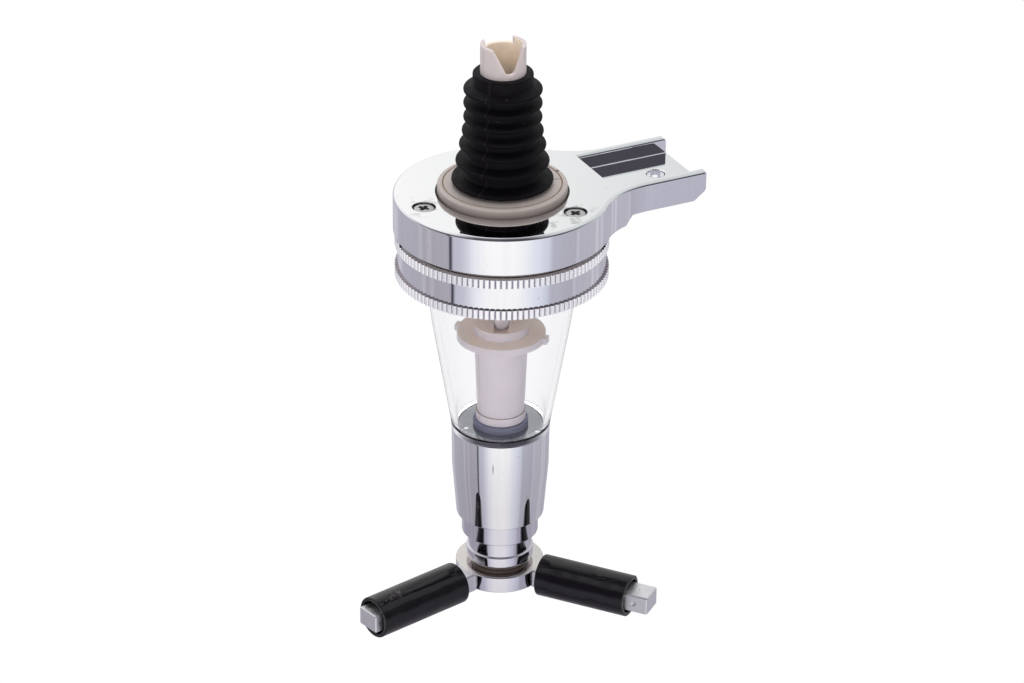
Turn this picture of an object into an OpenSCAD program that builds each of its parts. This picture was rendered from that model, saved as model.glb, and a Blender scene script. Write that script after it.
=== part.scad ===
// Bar optic: a spirit measure that hangs on a bracket under an upturned bottle.
// Millimetres. Origin on the main axis at the head's top face, +Z up, bracket arm along +Y.

/* [Head] */
// Radius of the round head
head_r = 28.3; // [27.6:0.1:32]
// Height of the head's side wall
head_h = 10.4; // [9.6:0.1:13]
// Thickness of the head's side wall
head_wall = 2.5; // [1.8:0.1:3]
// Thickness of the head's top plate
head_plate = 3.6; // [3.2:0.1:4.2]
// Rounding of the head's edges
head_edge = 0.8; // [0.3:0.1:1.2]

/* [Bracket arm] */
// Distance from the axis to the arm's free end
arm_reach = 53.7; // [50:0.1:62]
// Width over both rails
arm_w = 25.2; // [22:0.1:28]
// Thickness of each rail
rail_t = 2.4; // [2:0.05:4]
// Height of the rails
rail_h = 8; // [7.5:0.1:9]
// Rounding of the rails' upper corner at the free end
rail_round = 1.3; // [0.4:0.1:2]
// Depth of the channel between the rails
channel_depth = 4.3; // [3:0.1:5]
// Distance that the channel reaches into the head's outline
channel_inset = 1.4; // [0.8:0.1:1.6]
// Radius of the blend between head and rails
arm_blend_r = 20; // [12:0.5:26]
// Length of the arm's full-height root next to the head
arm_root = 0.9; // [0.4:0.1:2]
// Length of the sloping underside after the root
arm_slope = 2.2; // [1.5:0.1:8]
// Length of the cut under the free end
end_cut_len = 3.9; // [2:0.1:5]
// Height of the cut under the free end
end_cut_h = 2.9; // [1:0.1:3.4]
// Diameter of the bracket's fixing hole
fixing_d = 4.7; // [4:0.1:6.5]
// Distance from the fixing hole to the arm's free end
fixing_inset = 8.6; // [7:0.1:12]

/* [Head screws] */
// Number of screws round the head
screw_count = 3; // [2:1:4]
// Distance from the head's side to the circle of screws
screw_inset = 5.9; // [5.7:0.1:6.7]
// Diameter of a screw head
screw_head_d = 5.4; // [4.6:0.1:5.8]
// Height of a screw head
screw_head_h = 2; // [1.4:0.1:2.4]
// Diameter of the screw thread
screw_d = 3; // [2.4:0.1:3.2]
// Length of the screw thread
screw_len = 8; // [6:0.1:9]
// Width of the gap round a screw head
screw_gap = 0.4; // [0.2:0.05:0.6]
// Depth of a screw head below the top face
screw_sink = 0.3; // [0.1:0.05:0.6]

/* [Valve body] */
// Distance from the head's side to the boss that stands through the head
boss_inset = 11.4; // [10.3:0.1:12.7]
// Height of the boss above the head
boss_rise = 2.4; // [1.6:0.1:4]
// Gap between the boss and the head
boss_gap = 0.5; // [0.2:0.05:0.8]
// Rounding of the boss's top edge
boss_edge = 0.7; // [0.3:0.1:1]
// Distance from the boss's side to the thin groove in its top
boss_groove_inset = 1.7; // [1.4:0.1:3]
// Width of the thin groove and of the rim notch
boss_groove_w = 0.4; // [0.3:0.05:0.6]
// Width of the rim's ledge under the head's side wall
rim_ledge = 0.3; // [0.2:0.05:1.2]
// Height of the visible rim
rim_h = 1.45; // [1:0.05:3]
// Radius of the threaded spigot
spigot_r = 24.5; // [23.8:0.1:25.2]
// Radius of the hollow under the inlet
inlet_hollow_r = 17.5; // [10:0.5:18.5]
// Radius of the inlet passage
inlet_r = 4.2; // [3.6:0.1:4.6]

/* [Inlet tube] */
// Outside diameter of the inlet tube
tube_d = 11.8; // [11:0.1:13]
// Wall of the inlet tube
tube_wall = 1.1; // [0.8:0.05:1.3]
// Height of the tube above the head
tube_rise = 41.2; // [38:0.1:48]
// Depth of the tube in the valve body
tube_sink = 5.5; // [4.5:0.1:6]
// Width of the two notches in the tube's tip
notch_w = 7.9; // [6:0.1:9]
// Depth of the deep notch
notch_deep = 6.4; // [4:0.1:7]
// Depth of the shallow notch
notch_shallow = 1.6; // [1:0.1:3]
// Direction that the deep notch faces, from +X
notch_angle = -8; // [-90:1:90]

/* [Cork] */
// Height of the rubber cork
cork_h = 31; // [29:0.1:34]
// Radius of the plain collar at the cork's top
cork_top_r = 7.8; // [7.2:0.1:8.6]
// Radius of the cork between its lowest ribs
cork_foot_r = 9.4; // [8.6:0.1:10]
// Radius of the upper ribs
rib_r = 10.15; // [9.6:0.05:11]
// Extra radius of the lowest rib
rib_flare = 3.05; // [1:0.05:3.4]
// Number of ribs
rib_count = 7; // [5:1:7]
// Spacing of the upper ribs
rib_pitch = 3.85; // [3.4:0.05:3.9]
// Distance from the cork's top to the first rib
rib_start = 4.6; // [3.6:0.1:4.8]
// Thickness of a rib at its lip
rib_lip = 1.3; // [0.8:0.05:1.6]

/* [Clamp ring] */
// Radius over the knurled teeth
ring_r = 27.9; // [27.6:0.1:30]
// Height of the ring
ring_h = 11.35; // [10.5:0.05:13]
// Height of the upper knurled band
knurl_top_h = 2.65; // [1.5:0.05:3]
// Height of the lower knurled band
knurl_low_h = 2.5; // [1.5:0.1:3]
// Depth of the teeth
knurl_depth = 0.5; // [0.3:0.05:0.6]
// Number of teeth
knurl_teeth = 120; // [60:10:140]
// Step in from the teeth to the smooth band
band_inset = 0.7; // [0.5:0.05:0.8]
// Thickness of the lip that carries the chamber
ring_lip = 2; // [1.5:0.1:2.6]

/* [Chamber] */
// Radius of the chamber where it leaves the ring
chamber_top_r = 20.25; // [19:0.05:21.4]
// Radius of the chamber at its waist
chamber_waist_r = 18.2; // [17.2:0.05:18.8]
// Radius of the chamber at its foot
chamber_foot_r = 13.2; // [12.9:0.05:14]
// Length of the chamber below the ring
chamber_len = 45.6; // [43:0.1:54]
// Distance from the ring down to the waist
waist_drop = 14.8; // [10:0.1:18]
// Height of the chamber's rounded foot
foot_h = 1.5; // [1:0.1:2]
// Wall of the chamber
chamber_wall = 1.7; // [1.2:0.05:1.9]
// Thickness of the chamber's floor
floor_t = 1; // [0.8:0.1:2]
// Thickness of the chamber's flange
flange_t = 2.5; // [1.8:0.1:3]
// Thickness of the gasket above the flange
gasket_t = 1; // [0.6:0.1:1.4]
// Radius of the neck under the chamber
neck_r = 10; // [9.6:0.1:10.4]
// Length of the neck under the chamber
neck_len = 4.5; // [3.5:0.1:5.5]
// Radius of the outlet through the floor
outlet_r = 5; // [4.4:0.1:5.4]

/* [Outlet collar] */
// Radius of the collar's top
collar_top_r = 13.04; // [12.7:0.02:13.6]
// Radius of the collar's lower edge
collar_low_r = 11.7; // [11.2:0.05:12.2]
// Length of the collar's straight upper part
collar_straight = 11.1; // [7:0.1:14]
// Length of the collar down to its lower edge
collar_len = 26.1; // [24:0.1:30]
// Radius of the step under the collar
step_r = 10.25; // [9.8:0.05:10.8]
// Length of the step under the collar
step_len = 5.8; // [4.5:0.1:7]
// Rounding of the collar's edges
collar_edge = 0.5; // [0.2:0.05:0.8]
// Thickness of the gasket under the neck
neck_gasket_t = 0.8; // [0.5:0.1:1.2]
// Thickness of the washer above the spring
spring_washer_t = 0.6; // [0.4:0.1:1]

/* [Spout] */
// Radius of the sliding part of the spout
spout_r = 8.52; // [8.2:0.02:8.8]
// Radius of the flange under the sliding part
spout_flange_r = 9.03; // [9.0:0.01:9.6]
// Height of that flange
spout_flange_h = 3; // [2:0.1:4]
// Lift of the spout and valve
lift_h = 4.4; // [3.6:0.1:5]
// Gap that is left at the top of the lift
lift_gap = 0.2; // [0.1:0.05:0.5]
// Length of the spout above the visible flange
spout_len = 17.7; // [15:0.1:19]
// Radius of the pouring bore
pour_r = 4.5; // [3.6:0.1:4.8]
// Radius of the journal that carries the lever ring
journal_r = 6.5; // [6.1:0.1:6.8]
// Length of the journal below the clip
journal_tail = 1.3; // [0.8:0.1:2.5]

/* [Valve] */
// Radius of the valve rod
rod_r = 2.1; // [1.8:0.05:2.3]
// Radius of the rod's threaded top
rod_tip_r = 1.5; // [1.2:0.05:1.6]
// Radius of the inlet disc
inlet_disc_r = 7.6; // [6.4:0.1:8]
// Thickness of the inlet disc
inlet_disc_t = 2; // [1.4:0.1:3]
// Thickness of the washer under the inlet disc
backing_t = 1; // [0.8:0.1:1.6]
// Radius of the cap on the rod
cap_r = 3.1; // [2.6:0.1:3.3]
// Height of the cap on the rod
cap_h = 2.5; // [1.8:0.1:2.8]
// Thickness of the inlet seat
seat_t = 1.5; // [1:0.1:2]
// Radius of the inlet seat
seat_r = 8.6; // [8.2:0.1:9.4]
// Radius of the outlet seal
seal_r = 7.35; // [6.8:0.05:7.8]
// Height of the outlet seal
seal_h = 1.75; // [1.4:0.05:2.4]
// Height of the foot ring above the seal
foot_ring_h = 2.4; // [1.8:0.1:3]
// Radius of the foot ring
foot_ring_r = 6.65; // [6.4:0.05:6.8]
// Radius of the spool's lower end
spool_low_r = 6.3; // [5.8:0.05:6.35]
// Radius of the spool below its baffle
spool_high_r = 7.1; // [6.6:0.05:7.4]
// Length of the spool below its baffle
spool_len = 21.6; // [18:0.1:24]
// Radius of the baffle
baffle_r = 11.75; // [10.5:0.05:12.4]
// Thickness of the baffle
baffle_t = 1.8; // [1.2:0.1:2.6]
// Reach of the two tabs past the baffle
tab_reach = 1; // [0.5:0.1:1.5]
// Width of the two tabs
tab_w = 2.4; // [1.6:0.1:4]
// Direction of the first tab, from +X
tab_angle = 45; // [0:1:90]
// Radius of the slotted boss on the baffle
spool_boss_r = 7.4; // [6.8:0.05:8]
// Height of the slotted boss
spool_boss_h = 2.4; // [2:0.1:4]
// Width of the slot in the boss
spool_slot_w = 3.8; // [2.5:0.1:5]
// Depth of that slot
spool_slot_depth = 1.2; // [0.6:0.1:1.8]
// Wall of the boss past the slot's ends
spool_slot_wall = 1.1; // [0.8:0.1:2]
// Direction of that slot, from +X
spool_slot_angle = -27; // [-90:1:90]

/* [Return spring] */
// Diameter of the spring wire
wire_d = 0.9; // [0.6:0.05:1]
// Number of coils
coils = 5; // [4:1:5]

/* [Lever ring] */
// Radius of the lever ring
lever_r = 11.85; // [11:0.05:12.2]
// Thickness of the lever ring
lever_t = 4.6; // [3.6:0.1:5]
// Thickness of the washer above the lever ring
thrust_t = 1.3; // [1:0.1:2]
// Width of that washer round the journal
thrust_w = 1.2; // [0.8:0.1:1.8]
// Width of the bars
bar_w = 6.9; // [5:0.1:8]
// Height of the bars
bar_h = 5.2; // [4.4:0.1:6]
// Distance from the axis to the end of the left bar
left_bar_reach = 45.5; // [44.6:0.1:50]
// Distance from the axis to the end of the right bar
right_bar_reach = 44.9; // [44:0.1:50]
// Direction of the left bar, from +X
left_bar_angle = 283.3; // [240:0.1:300]
// Direction of the right bar, from +X
right_bar_angle = 38.7; // [10:0.1:80]
// Wall of a sleeve
sleeve_wall = 1.05; // [0.8:0.05:1.5]
// Clearance between a sleeve's bore and the bar's corners
sleeve_clear = 0.28; // [0.2:0.02:0.6]
// Length of the left sleeve
left_sleeve_len = 28.3; // [24:0.1:29.2]
// Length of the right sleeve
right_sleeve_len = 26.2; // [24:0.1:29.4]
// Distance from the axis to the left sleeve
left_sleeve_start = 15.2; // [13:0.1:16]
// Distance from the axis to the right sleeve
right_sleeve_start = 12.7; // [12.4:0.1:14.6]
// Diameter of the punch marks near the ends of the bars
punch_d = 2; // [1:0.1:3]
// Distance from the punch marks to the end of a bar
punch_inset = 4; // [2:0.1:5]
// Thickness of the clip under the lever ring
clip_t = 0.7; // [0.5:0.05:0.9]
// Width of the clip
clip_w = 2.2; // [1.6:0.1:3]

/* [Hidden] */

$fn = 96;
// Overshoot of a cut past the face it opens
cut = 1;
// Radial clearance of a push fit
push_clear = 0.03;
// Radial clearance of a running fit
run_clear = 0.05;
// Gap between faces that turn or slide on each other
face_gap = 0.05;
// Gap above the clamp ring
ring_gap = 0.15;
// Gap round the chamber inside the ring's lip
lip_gap = 0.4;
// Angle of the bracket arm from +X
arm_angle = 90;
// Depth of the boss's groove
boss_groove_depth = 0.5;
// Upper ribs of the cork that share one radius, and those that share one spacing
straight_ribs = 2;
even_ribs = 4;
// How the lower ribs spread apart and flare
rib_spread = 0.75;
rib_spread_power = 1.8;
rib_flare_power = 1.5;
// Drop from the head's lower edge to the inlet seat's face
seat_drop = 0.6;
// Gap round the chamber's flange inside the clamp ring
flange_gap = 0.3;
// Thickness of the O-ring round the inlet tube
tube_ring_thick = 1.3;
// Thickness of the O-ring round the spout
spout_ring_thick = 0.9;
// Distance from the spider to the spout's O-ring
spout_ring_drop = 2;
// Height of the spider that holds the rod in the spout
spider_h = 4;
// Width of the spider's ribs
spider_rib = 1.6;
// Wall of the spider's hub
hub_wall = 1.3;
// Depth of the clip's groove
clip_groove = 0.9;
// Step in from the inlet disc to the washer under it
backing_inset = 1.2;
// Roof of the cap over the rod's tip
cap_roof = 0.5;
// Small rounding of turned edges
soft_edge = 0.3;
// Inward slope of the chamber's foot and of the collar's straight part
slight_taper = 0.12;

// Heights from the head downwards
z_boss = boss_rise;
z_plate = -head_plate;
z_head = -head_h;
z_rim = z_head - rim_h;
z_ring = z_rim - ring_h;
z_flange_low = z_ring + ring_lip + face_gap;
z_flange_top = z_flange_low + flange_t;
z_spigot = z_flange_top + gasket_t;
z_waist = z_ring - waist_drop;
z_chamber = z_ring - chamber_len;
z_floor = z_chamber + floor_t;
z_neck = z_chamber - neck_len;
z_ledge = z_neck - neck_gasket_t;
z_spring_top = z_ledge - spring_washer_t;
z_collar_edge = z_chamber - collar_len;
z_step = z_collar_edge - step_len;
z_spout_flange = z_step - lift_h - lift_gap;
z_spout_top = z_spout_flange + spout_len;
z_shoulder = z_spout_flange - spout_flange_h;
z_lever_top = z_shoulder - thrust_t - 2 * face_gap;
z_lever_low = z_lever_top - lever_t;
z_bar = z_lever_top - bar_h / 2;
z_clip_top = z_lever_low - face_gap;
z_clip_low = z_clip_top - clip_t;
z_journal_end = z_clip_low - journal_tail;

// Heights of the inlet and the moving valve at rest
z_tube_low = -tube_sink;
z_seat_low = z_head - seat_drop;
z_seat_top = z_seat_low + seat_t;
z_disc_top = z_seat_low - lift_h - lift_gap;
z_disc_low = z_disc_top - inlet_disc_t;
z_backing_low = z_disc_low - backing_t;
z_seal_top = z_floor + seal_h;
z_foot_low = z_seal_top + face_gap;
z_foot_top = z_foot_low + foot_ring_h;
z_baffle_low = z_foot_top + spool_len;
z_baffle_top = z_baffle_low + baffle_t;
z_spool_top = z_baffle_top + spool_boss_h;
z_screw_seat = -screw_sink - screw_head_h;
z_screw_low = z_screw_seat - screw_len;
z_tube_ring = z_tube_low / 2;
z_spider_low = z_spout_top - spider_h;
z_spout_ring = z_spider_low - spout_ring_drop;

// Radii that follow from the fits
plate_r = head_r - head_wall - push_clear;
rim_r = head_r - head_wall + rim_ledge;
boss_r = head_r - boss_inset;
boss_hole_r = boss_r + boss_gap;
boss_groove_r = boss_r - boss_groove_inset;
screw_circle_r = head_r - screw_inset;
tube_r = tube_d / 2;
socket_r = tube_r + push_clear;
ring_bore_r = spigot_r + run_clear;
flange_r = ring_bore_r - flange_gap;
lip_r = chamber_top_r + lip_gap;
guide_r = spout_r + run_clear;
cup_r = neck_r + push_clear;
seal_bore_r = (outlet_r + rod_r) / 2;
spider_r = journal_r;
cork_bore_r = tube_r + push_clear;
tube_ring_r = tube_r + tube_ring_thick / 2;
clip_bore_r = journal_r - clip_groove + push_clear;
clip_r = clip_bore_r + clip_w;
sleeve_bore_r = norm([bar_w, bar_h]) / 2 + sleeve_clear;
sleeve_r = sleeve_bore_r + sleeve_wall;

// Centre of the blend between head and arm
blend_x = arm_w / 2 + arm_blend_r;
blend_y = sqrt(pow(head_r + arm_blend_r, 2) - pow(blend_x, 2));

// Spring between the washer and the spout
spring_r = (journal_r + spout_r) / 2;
spring_low = z_spout_top + wire_d / 2 + face_gap;
spring_high = z_spring_top - wire_d / 2 - face_gap;
coil_rings = 8;
wire_sides = 6;
wire_last = coils * coil_rings;

module disc(r, low, high) {
    translate([0, 0, low]) cylinder(r = r, h = high - low);
}

module tube(r, bore, low, high) {
    difference() {
        disc(r, low, high);
        disc(bore, low - cut, high + cut);
    }
}

// A disc with rounded edges, high and low
module rounded_disc(r, low, high, edge_low, edge_high) {
    rotate_extrude() {
        translate([0, low + edge_low]) square([r, high - low - edge_low - edge_high]);
        if (edge_high > 0) {
            translate([0, high - edge_high]) square([r - edge_high, edge_high]);
            translate([r - edge_high, high - edge_high]) circle(edge_high, $fn = 32);
        }
        if (edge_low > 0) {
            translate([0, low]) square([r - edge_low, edge_low]);
            translate([r - edge_low, low + edge_low]) circle(edge_low, $fn = 32);
        }
    }
}

module o_ring(r, thick, z) {
    translate([0, 0, z]) rotate_extrude() translate([r, 0]) circle(d = thick, $fn = 32);
}

module at_screws() {
    for (i = [1 : screw_count]) {
        rotate(arm_angle + (i - 0.5) * 360 / screw_count) translate([screw_circle_r, 0, 0]) children();
    }
}

// Bracket arm: the plan of rails and blends, cut to the arm's side view
module arm_plan() {
    translate([-arm_w / 2, 0]) square([arm_w, arm_reach]);
    for (side = [-1, 1]) scale([side, 1]) difference() {
        polygon([[0, 0], [blend_x, blend_y] * head_r / (head_r + arm_blend_r), [blend_x, blend_y],
            [arm_w / 2, blend_y], [0, blend_y]]);
        translate([blend_x, blend_y]) circle(arm_blend_r);
    }
}

module arm_side() {
    polygon([[0, 0], for (a = [90 : -10 : 0]) [arm_reach, 0] + rail_round * [cos(a) - 1, sin(a) - 1],
        [arm_reach, end_cut_h - rail_h], [arm_reach - end_cut_len, -rail_h],
        [head_r + arm_root + arm_slope, -rail_h], [head_r + arm_root, -head_h], [0, -head_h]]);
}

module arm() {
    intersection() {
        translate([0, 0, z_head]) linear_extrude(head_h) arm_plan();
        rotate([90, 0, 90]) linear_extrude(4 * head_r, center = true) arm_side();
    }
}

module arm_channel() {
    start = head_r - channel_inset;
    translate([rail_t - arm_w / 2, start, -channel_depth])
        cube([arm_w - 2 * rail_t, arm_reach + cut - start, channel_depth + cut]);
    translate([0, arm_reach - fixing_inset, z_head]) cylinder(d = fixing_d, h = head_h);
}

module bracket_head() {
    color("#c9c8cc") difference() {
        union() {
            rounded_disc(head_r, z_head, 0, head_edge, head_edge);
            arm();
        }
        disc(head_r - head_wall, z_head - cut, z_plate);
        disc(boss_hole_r, z_plate - cut, cut);
        arm_channel();
        at_screws() {
            disc(screw_head_d / 2 + screw_gap, z_screw_seat, cut);
            disc(screw_d / 2 + screw_gap, z_plate - cut, cut);
        }
    }
}

module valve_body() {
    color("#b3aaa5") difference() {
        union() {
            rounded_disc(boss_r, z_plate - cut, z_boss, 0, boss_edge);
            disc(plate_r, z_head, z_plate);
            disc(rim_r, z_rim, z_head);
            disc(spigot_r, z_spigot, z_rim);
        }
        disc(socket_r, z_tube_low, z_boss + cut);
        disc(inlet_r, z_spigot, z_boss);
        disc(seat_r, z_seat_low - cut, z_seat_top);
        disc(inlet_hollow_r, z_spigot - cut, z_seat_low);
        tube(boss_groove_r + boss_groove_w, boss_groove_r, z_boss - boss_groove_depth, z_boss + cut);
        rotate(arm_angle) translate([boss_groove_r, -boss_groove_w, z_boss - boss_groove_depth])
            cube([boss_r, 2 * boss_groove_w, boss_groove_depth + cut]);
        tube(tube_r + tube_ring_thick, tube_r - cut, z_tube_ring - tube_ring_thick / 2,
            z_tube_ring + tube_ring_thick / 2);
        at_screws() disc(screw_d / 2 + push_clear, z_screw_low - cut, cut);
    }
}

module head_screws() {
    color("#8f8d90") at_screws() difference() {
        union() {
            rounded_disc(screw_head_d / 2, z_screw_seat, -screw_sink, 0, soft_edge);
            disc(screw_d / 2, z_screw_low, z_screw_seat);
        }
        for (turn = [0, 90]) rotate(turn)
            translate([-screw_d / 2, -screw_d / 8, z_screw_seat + screw_head_h / 2])
                cube([screw_d, screw_d / 4, screw_head_h]);
    }
}

module inlet_seat() {
    color("#55565c") tube(seat_r - push_clear, inlet_r, z_seat_low, z_seat_top);
}

// Deep notch through one wall of the tube: a round bottom that opens out to the full width
module deep_notch() {
    bottom_r = notch_w / 3;
    z_bottom = tube_rise - notch_deep + bottom_r;
    rotate([90, 0, 90]) linear_extrude(tube_d) {
        translate([0, z_bottom]) circle(bottom_r);
        polygon([[-bottom_r, z_bottom], [bottom_r, z_bottom], [notch_w / 2, tube_rise],
            [notch_w / 2, tube_rise + cut], [-notch_w / 2, tube_rise + cut], [-notch_w / 2, tube_rise]]);
    }
}

module inlet_tube() {
    color("#d8d0cc") rotate(notch_angle + 90) difference() {
        tube(tube_r, tube_r - tube_wall, z_tube_low, tube_rise);
        rotate(-90) deep_notch();
        rotate(90) translate([0, -notch_w / 2, tube_rise - notch_shallow])
            cube([tube_d, notch_w, notch_shallow + cut]);
    }
}

module tube_o_ring() {
    color("#242326") o_ring(tube_ring_r, tube_ring_thick - push_clear, z_tube_ring);
}

// Height and radius of rib i, counted down from the cork's top
function rib_z(i) = z_boss + cork_h - rib_start - rib_pitch * i
    - rib_spread * pow(max(0, i - even_ribs), rib_spread_power);
function rib_edge(i) = rib_r
    + rib_flare * pow(max(0, i - straight_ribs) / (rib_count - 1 - straight_ribs), rib_flare_power);
function root_r(i) = cork_top_r + (cork_foot_r - cork_top_r) * i / (rib_count - 1);

module cork_profile() {
    polygon([[cork_bore_r, z_boss], [root_r(rib_count - 1), z_boss],
        for (i = [rib_count - 1 : -1 : 0]) [root_r(i), rib_z(i)],
        [cork_top_r, z_boss + cork_h], [cork_bore_r, z_boss + cork_h]]);
    for (i = [0 : rib_count - 1]) translate([0, max(rib_z(i), z_boss + rib_lip)]) {
        lip_x = rib_edge(i) - rib_lip / 2;
        polygon([[cork_bore_r + push_clear, -rib_lip], [root_r(i), -rib_lip], [lip_x, -rib_lip / 2],
            [lip_x, rib_lip / 2], [root_r(i), rib_lip], [cork_bore_r + push_clear, rib_lip]]);
        translate([lip_x, 0]) circle(d = rib_lip, $fn = 32);
    }
}

module bottle_cork() {
    color("#1a181b") rotate_extrude() cork_profile();
}

module body_gasket() {
    color("#2b2a2c") tube(flange_r, inlet_hollow_r + flange_gap, z_flange_top, z_spigot);
}

module measuring_chamber() {
    inner_foot_r = chamber_foot_r - chamber_wall;
    color("#e8e9f2") rotate_extrude() polygon([
        [chamber_top_r - chamber_wall, z_flange_top], [flange_r, z_flange_top], [flange_r, z_flange_low],
        [chamber_top_r, z_flange_low], [chamber_top_r, z_ring], [chamber_waist_r, z_waist],
        [chamber_foot_r, z_chamber + foot_h], [chamber_foot_r - slight_taper, z_chamber],
        [neck_r, z_chamber], [neck_r, z_neck], [outlet_r, z_neck], [outlet_r, z_floor],
        [inner_foot_r, z_floor], [chamber_waist_r - chamber_wall, z_waist],
        [chamber_top_r - chamber_wall, z_ring]]);
}

module outlet_seal() {
    color("#6f7280") difference() {
        rounded_disc(seal_r, z_floor, z_seal_top, 0, soft_edge);
        disc(seal_bore_r, z_floor - cut, z_seal_top + cut);
    }
}

module neck_gasket() {
    color("#2b2a2c") tube(neck_r, outlet_r, z_ledge, z_neck);
}

module outlet_collar() {
    z_edge = z_collar_edge + collar_edge;
    color("#c9c8cc") difference() {
        union() {
            rotate_extrude() {
                polygon([[0, z_chamber], [collar_top_r, z_chamber], [collar_top_r, z_chamber - collar_edge],
                    [collar_top_r - slight_taper, z_chamber - collar_straight], [collar_low_r, z_edge],
                    [collar_low_r - collar_edge, z_collar_edge], [0, z_collar_edge]]);
                translate([collar_low_r - collar_edge, z_edge]) circle(collar_edge, $fn = 32);
            }
            rounded_disc(step_r, z_step, z_collar_edge + cut, collar_edge, 0);
        }
        disc(cup_r, z_ledge, z_chamber + cut);
        disc(guide_r, z_step - cut, z_chamber);
    }
}

module spring_washer() {
    color("#8f8d90") tube(spout_r - run_clear, outlet_r, z_spring_top, z_ledge);
}

// Spring: a round wire along a helix
function wire_centre(i) = let (a = 360 * i / coil_rings)
    [spring_r * cos(a), spring_r * sin(a), spring_low + (spring_high - spring_low) * i / wire_last];
function wire_ring(i) = let (a = 360 * i / coil_rings, c = wire_centre(i)) [
    for (k = [0 : wire_sides - 1]) let (b = 360 * k / wire_sides)
        c + wire_d / 2 * [cos(b) * cos(a), cos(b) * sin(a), sin(b)]];
coil_steps = [for (i = [0 : wire_last - coil_rings]) norm(wire_centre(i) - wire_centre(i + coil_rings))];
echo(least_gap_between_coils = min(coil_steps) - wire_d);

module return_spring() {
    points = [for (i = [0 : wire_last]) each wire_ring(i)];
    caps = [for (k = [1 : wire_sides - 2]) each [
        [0, k + 1, k],
        [wire_last * wire_sides, wire_last * wire_sides + k, wire_last * wire_sides + k + 1]]];
    sides = [for (i = [0 : wire_last - 1], k = [0 : wire_sides - 1])
        let (a = i * wire_sides + k, b = i * wire_sides + (k + 1) % wire_sides)
        each [[a, b, b + wire_sides], [a, b + wire_sides, a + wire_sides]]];
    color("#9a9a9e") polyhedron(points, concat(caps, sides));
}

// Ring of V teeth
module knurl(low, high) {
    translate([0, 0, low]) linear_extrude(high - low) polygon([for (i = [0 : 2 * knurl_teeth - 1])
        let (r = ring_r - (i % 2) * knurl_depth, a = 180 * i / knurl_teeth) r * [cos(a), sin(a)]]);
}

module clamp_ring() {
    z_top = z_rim - ring_gap;
    color("#c9c8cc") difference() {
        union() {
            knurl(z_rim - knurl_top_h, z_top);
            disc(ring_r - band_inset, z_ring + knurl_low_h, z_rim - knurl_top_h);
            knurl(z_ring, z_ring + knurl_low_h);
        }
        disc(ring_bore_r, z_ring + ring_lip, z_rim);
        disc(lip_r, z_ring - cut, z_rim);
    }
}

module valve_spool() {
    slot_end = spool_boss_r - spool_slot_wall;
    color("#d8d0cc") difference() {
        union() {
            translate([0, 0, z_foot_top])
                cylinder(r1 = spool_low_r, r2 = spool_high_r, h = z_baffle_low - z_foot_top);
            translate([0, 0, z_baffle_low]) linear_extrude(baffle_t) {
                circle(baffle_r);
                rotate(tab_angle) square([2 * (baffle_r + tab_reach), tab_w], center = true);
            }
            disc(spool_boss_r, z_baffle_top, z_spool_top);
        }
        disc(rod_r + push_clear, z_foot_top - cut, z_spool_top + cut);
        rotate(spool_slot_angle) translate([-slot_end, -spool_slot_w / 2, z_spool_top - spool_slot_depth])
            cube([2 * slot_end, spool_slot_w, spool_slot_depth + cut]);
    }
}

module foot_ring() {
    color("#e6e1de") tube(foot_ring_r, rod_r + push_clear, z_foot_low, z_foot_top);
}

module valve_rod() {
    color("#d8d0cc") union() {
        disc(rod_r, z_spider_low, z_backing_low);
        disc(rod_tip_r, z_backing_low, z_disc_top + cap_h - cap_roof);
    }
}

module inlet_disc() {
    color("#55565c") tube(inlet_disc_r, rod_tip_r + push_clear, z_disc_low, z_disc_top);
}

module disc_backing() {
    color("#e6e1de") tube(inlet_disc_r - backing_inset, rod_tip_r + push_clear, z_backing_low, z_disc_low);
}

module rod_cap() {
    color("#8f8d90") difference() {
        rounded_disc(cap_r, z_disc_top, z_disc_top + cap_h, 0, 2 * soft_edge);
        disc(rod_tip_r + push_clear, z_disc_top - cut, z_disc_top + cap_h - cap_roof);
    }
}

module rod_spider() {
    color("#c8a860") difference() {
        union() {
            disc(rod_r + hub_wall, z_spider_low, z_spout_top);
            intersection() {
                disc(spider_r - push_clear, z_spider_low, z_spout_top);
                for (turn = [0, 120, 240]) rotate(turn)
                    translate([0, -spider_rib / 2, z_spider_low]) cube([2 * spider_r, spider_rib, spider_h]);
            }
        }
        disc(rod_r + push_clear, z_spider_low - cut, z_spout_top + cut);
    }
}

module spout() {
    z_mid = (z_shoulder + z_spout_flange) / 2;
    color("#c9c8cc") difference() {
        union() {
            disc(spout_r, z_mid, z_spout_top);
            rounded_disc(spout_flange_r, z_shoulder, z_spout_flange, soft_edge, soft_edge);
            disc(journal_r, z_journal_end, z_mid);
        }
        disc(pour_r, z_journal_end - cut, z_spout_top + cut);
        disc(spider_r, z_spider_low, z_spout_top + cut);
        tube(spout_r + cut, spout_r - spout_ring_thick, z_spout_ring - spout_ring_thick / 2 - face_gap,
            z_spout_ring + spout_ring_thick / 2 + face_gap);
        tube(journal_r + cut, journal_r - clip_groove, z_clip_low - face_gap, z_clip_top + face_gap);
    }
}

module spout_o_ring() {
    color("#242326") o_ring(spout_r - spout_ring_thick / 2, spout_ring_thick - push_clear, z_spout_ring);
}

module thrust_washer() {
    color("#2b2a2c") tube(journal_r + thrust_w, journal_r + run_clear, z_lever_top + face_gap,
        z_shoulder - face_gap);
}

// Spring clip with an open side, snapped into the journal's groove
module lever_clip() {
    color("#8f8d90") difference() {
        tube(clip_r, clip_bore_r, z_clip_low, z_clip_top);
        rotate(left_bar_angle + 180) translate([0, -journal_r / 2, z_clip_low - cut])
            cube([2 * clip_r, journal_r, clip_t + 2 * cut]);
    }
}

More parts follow.
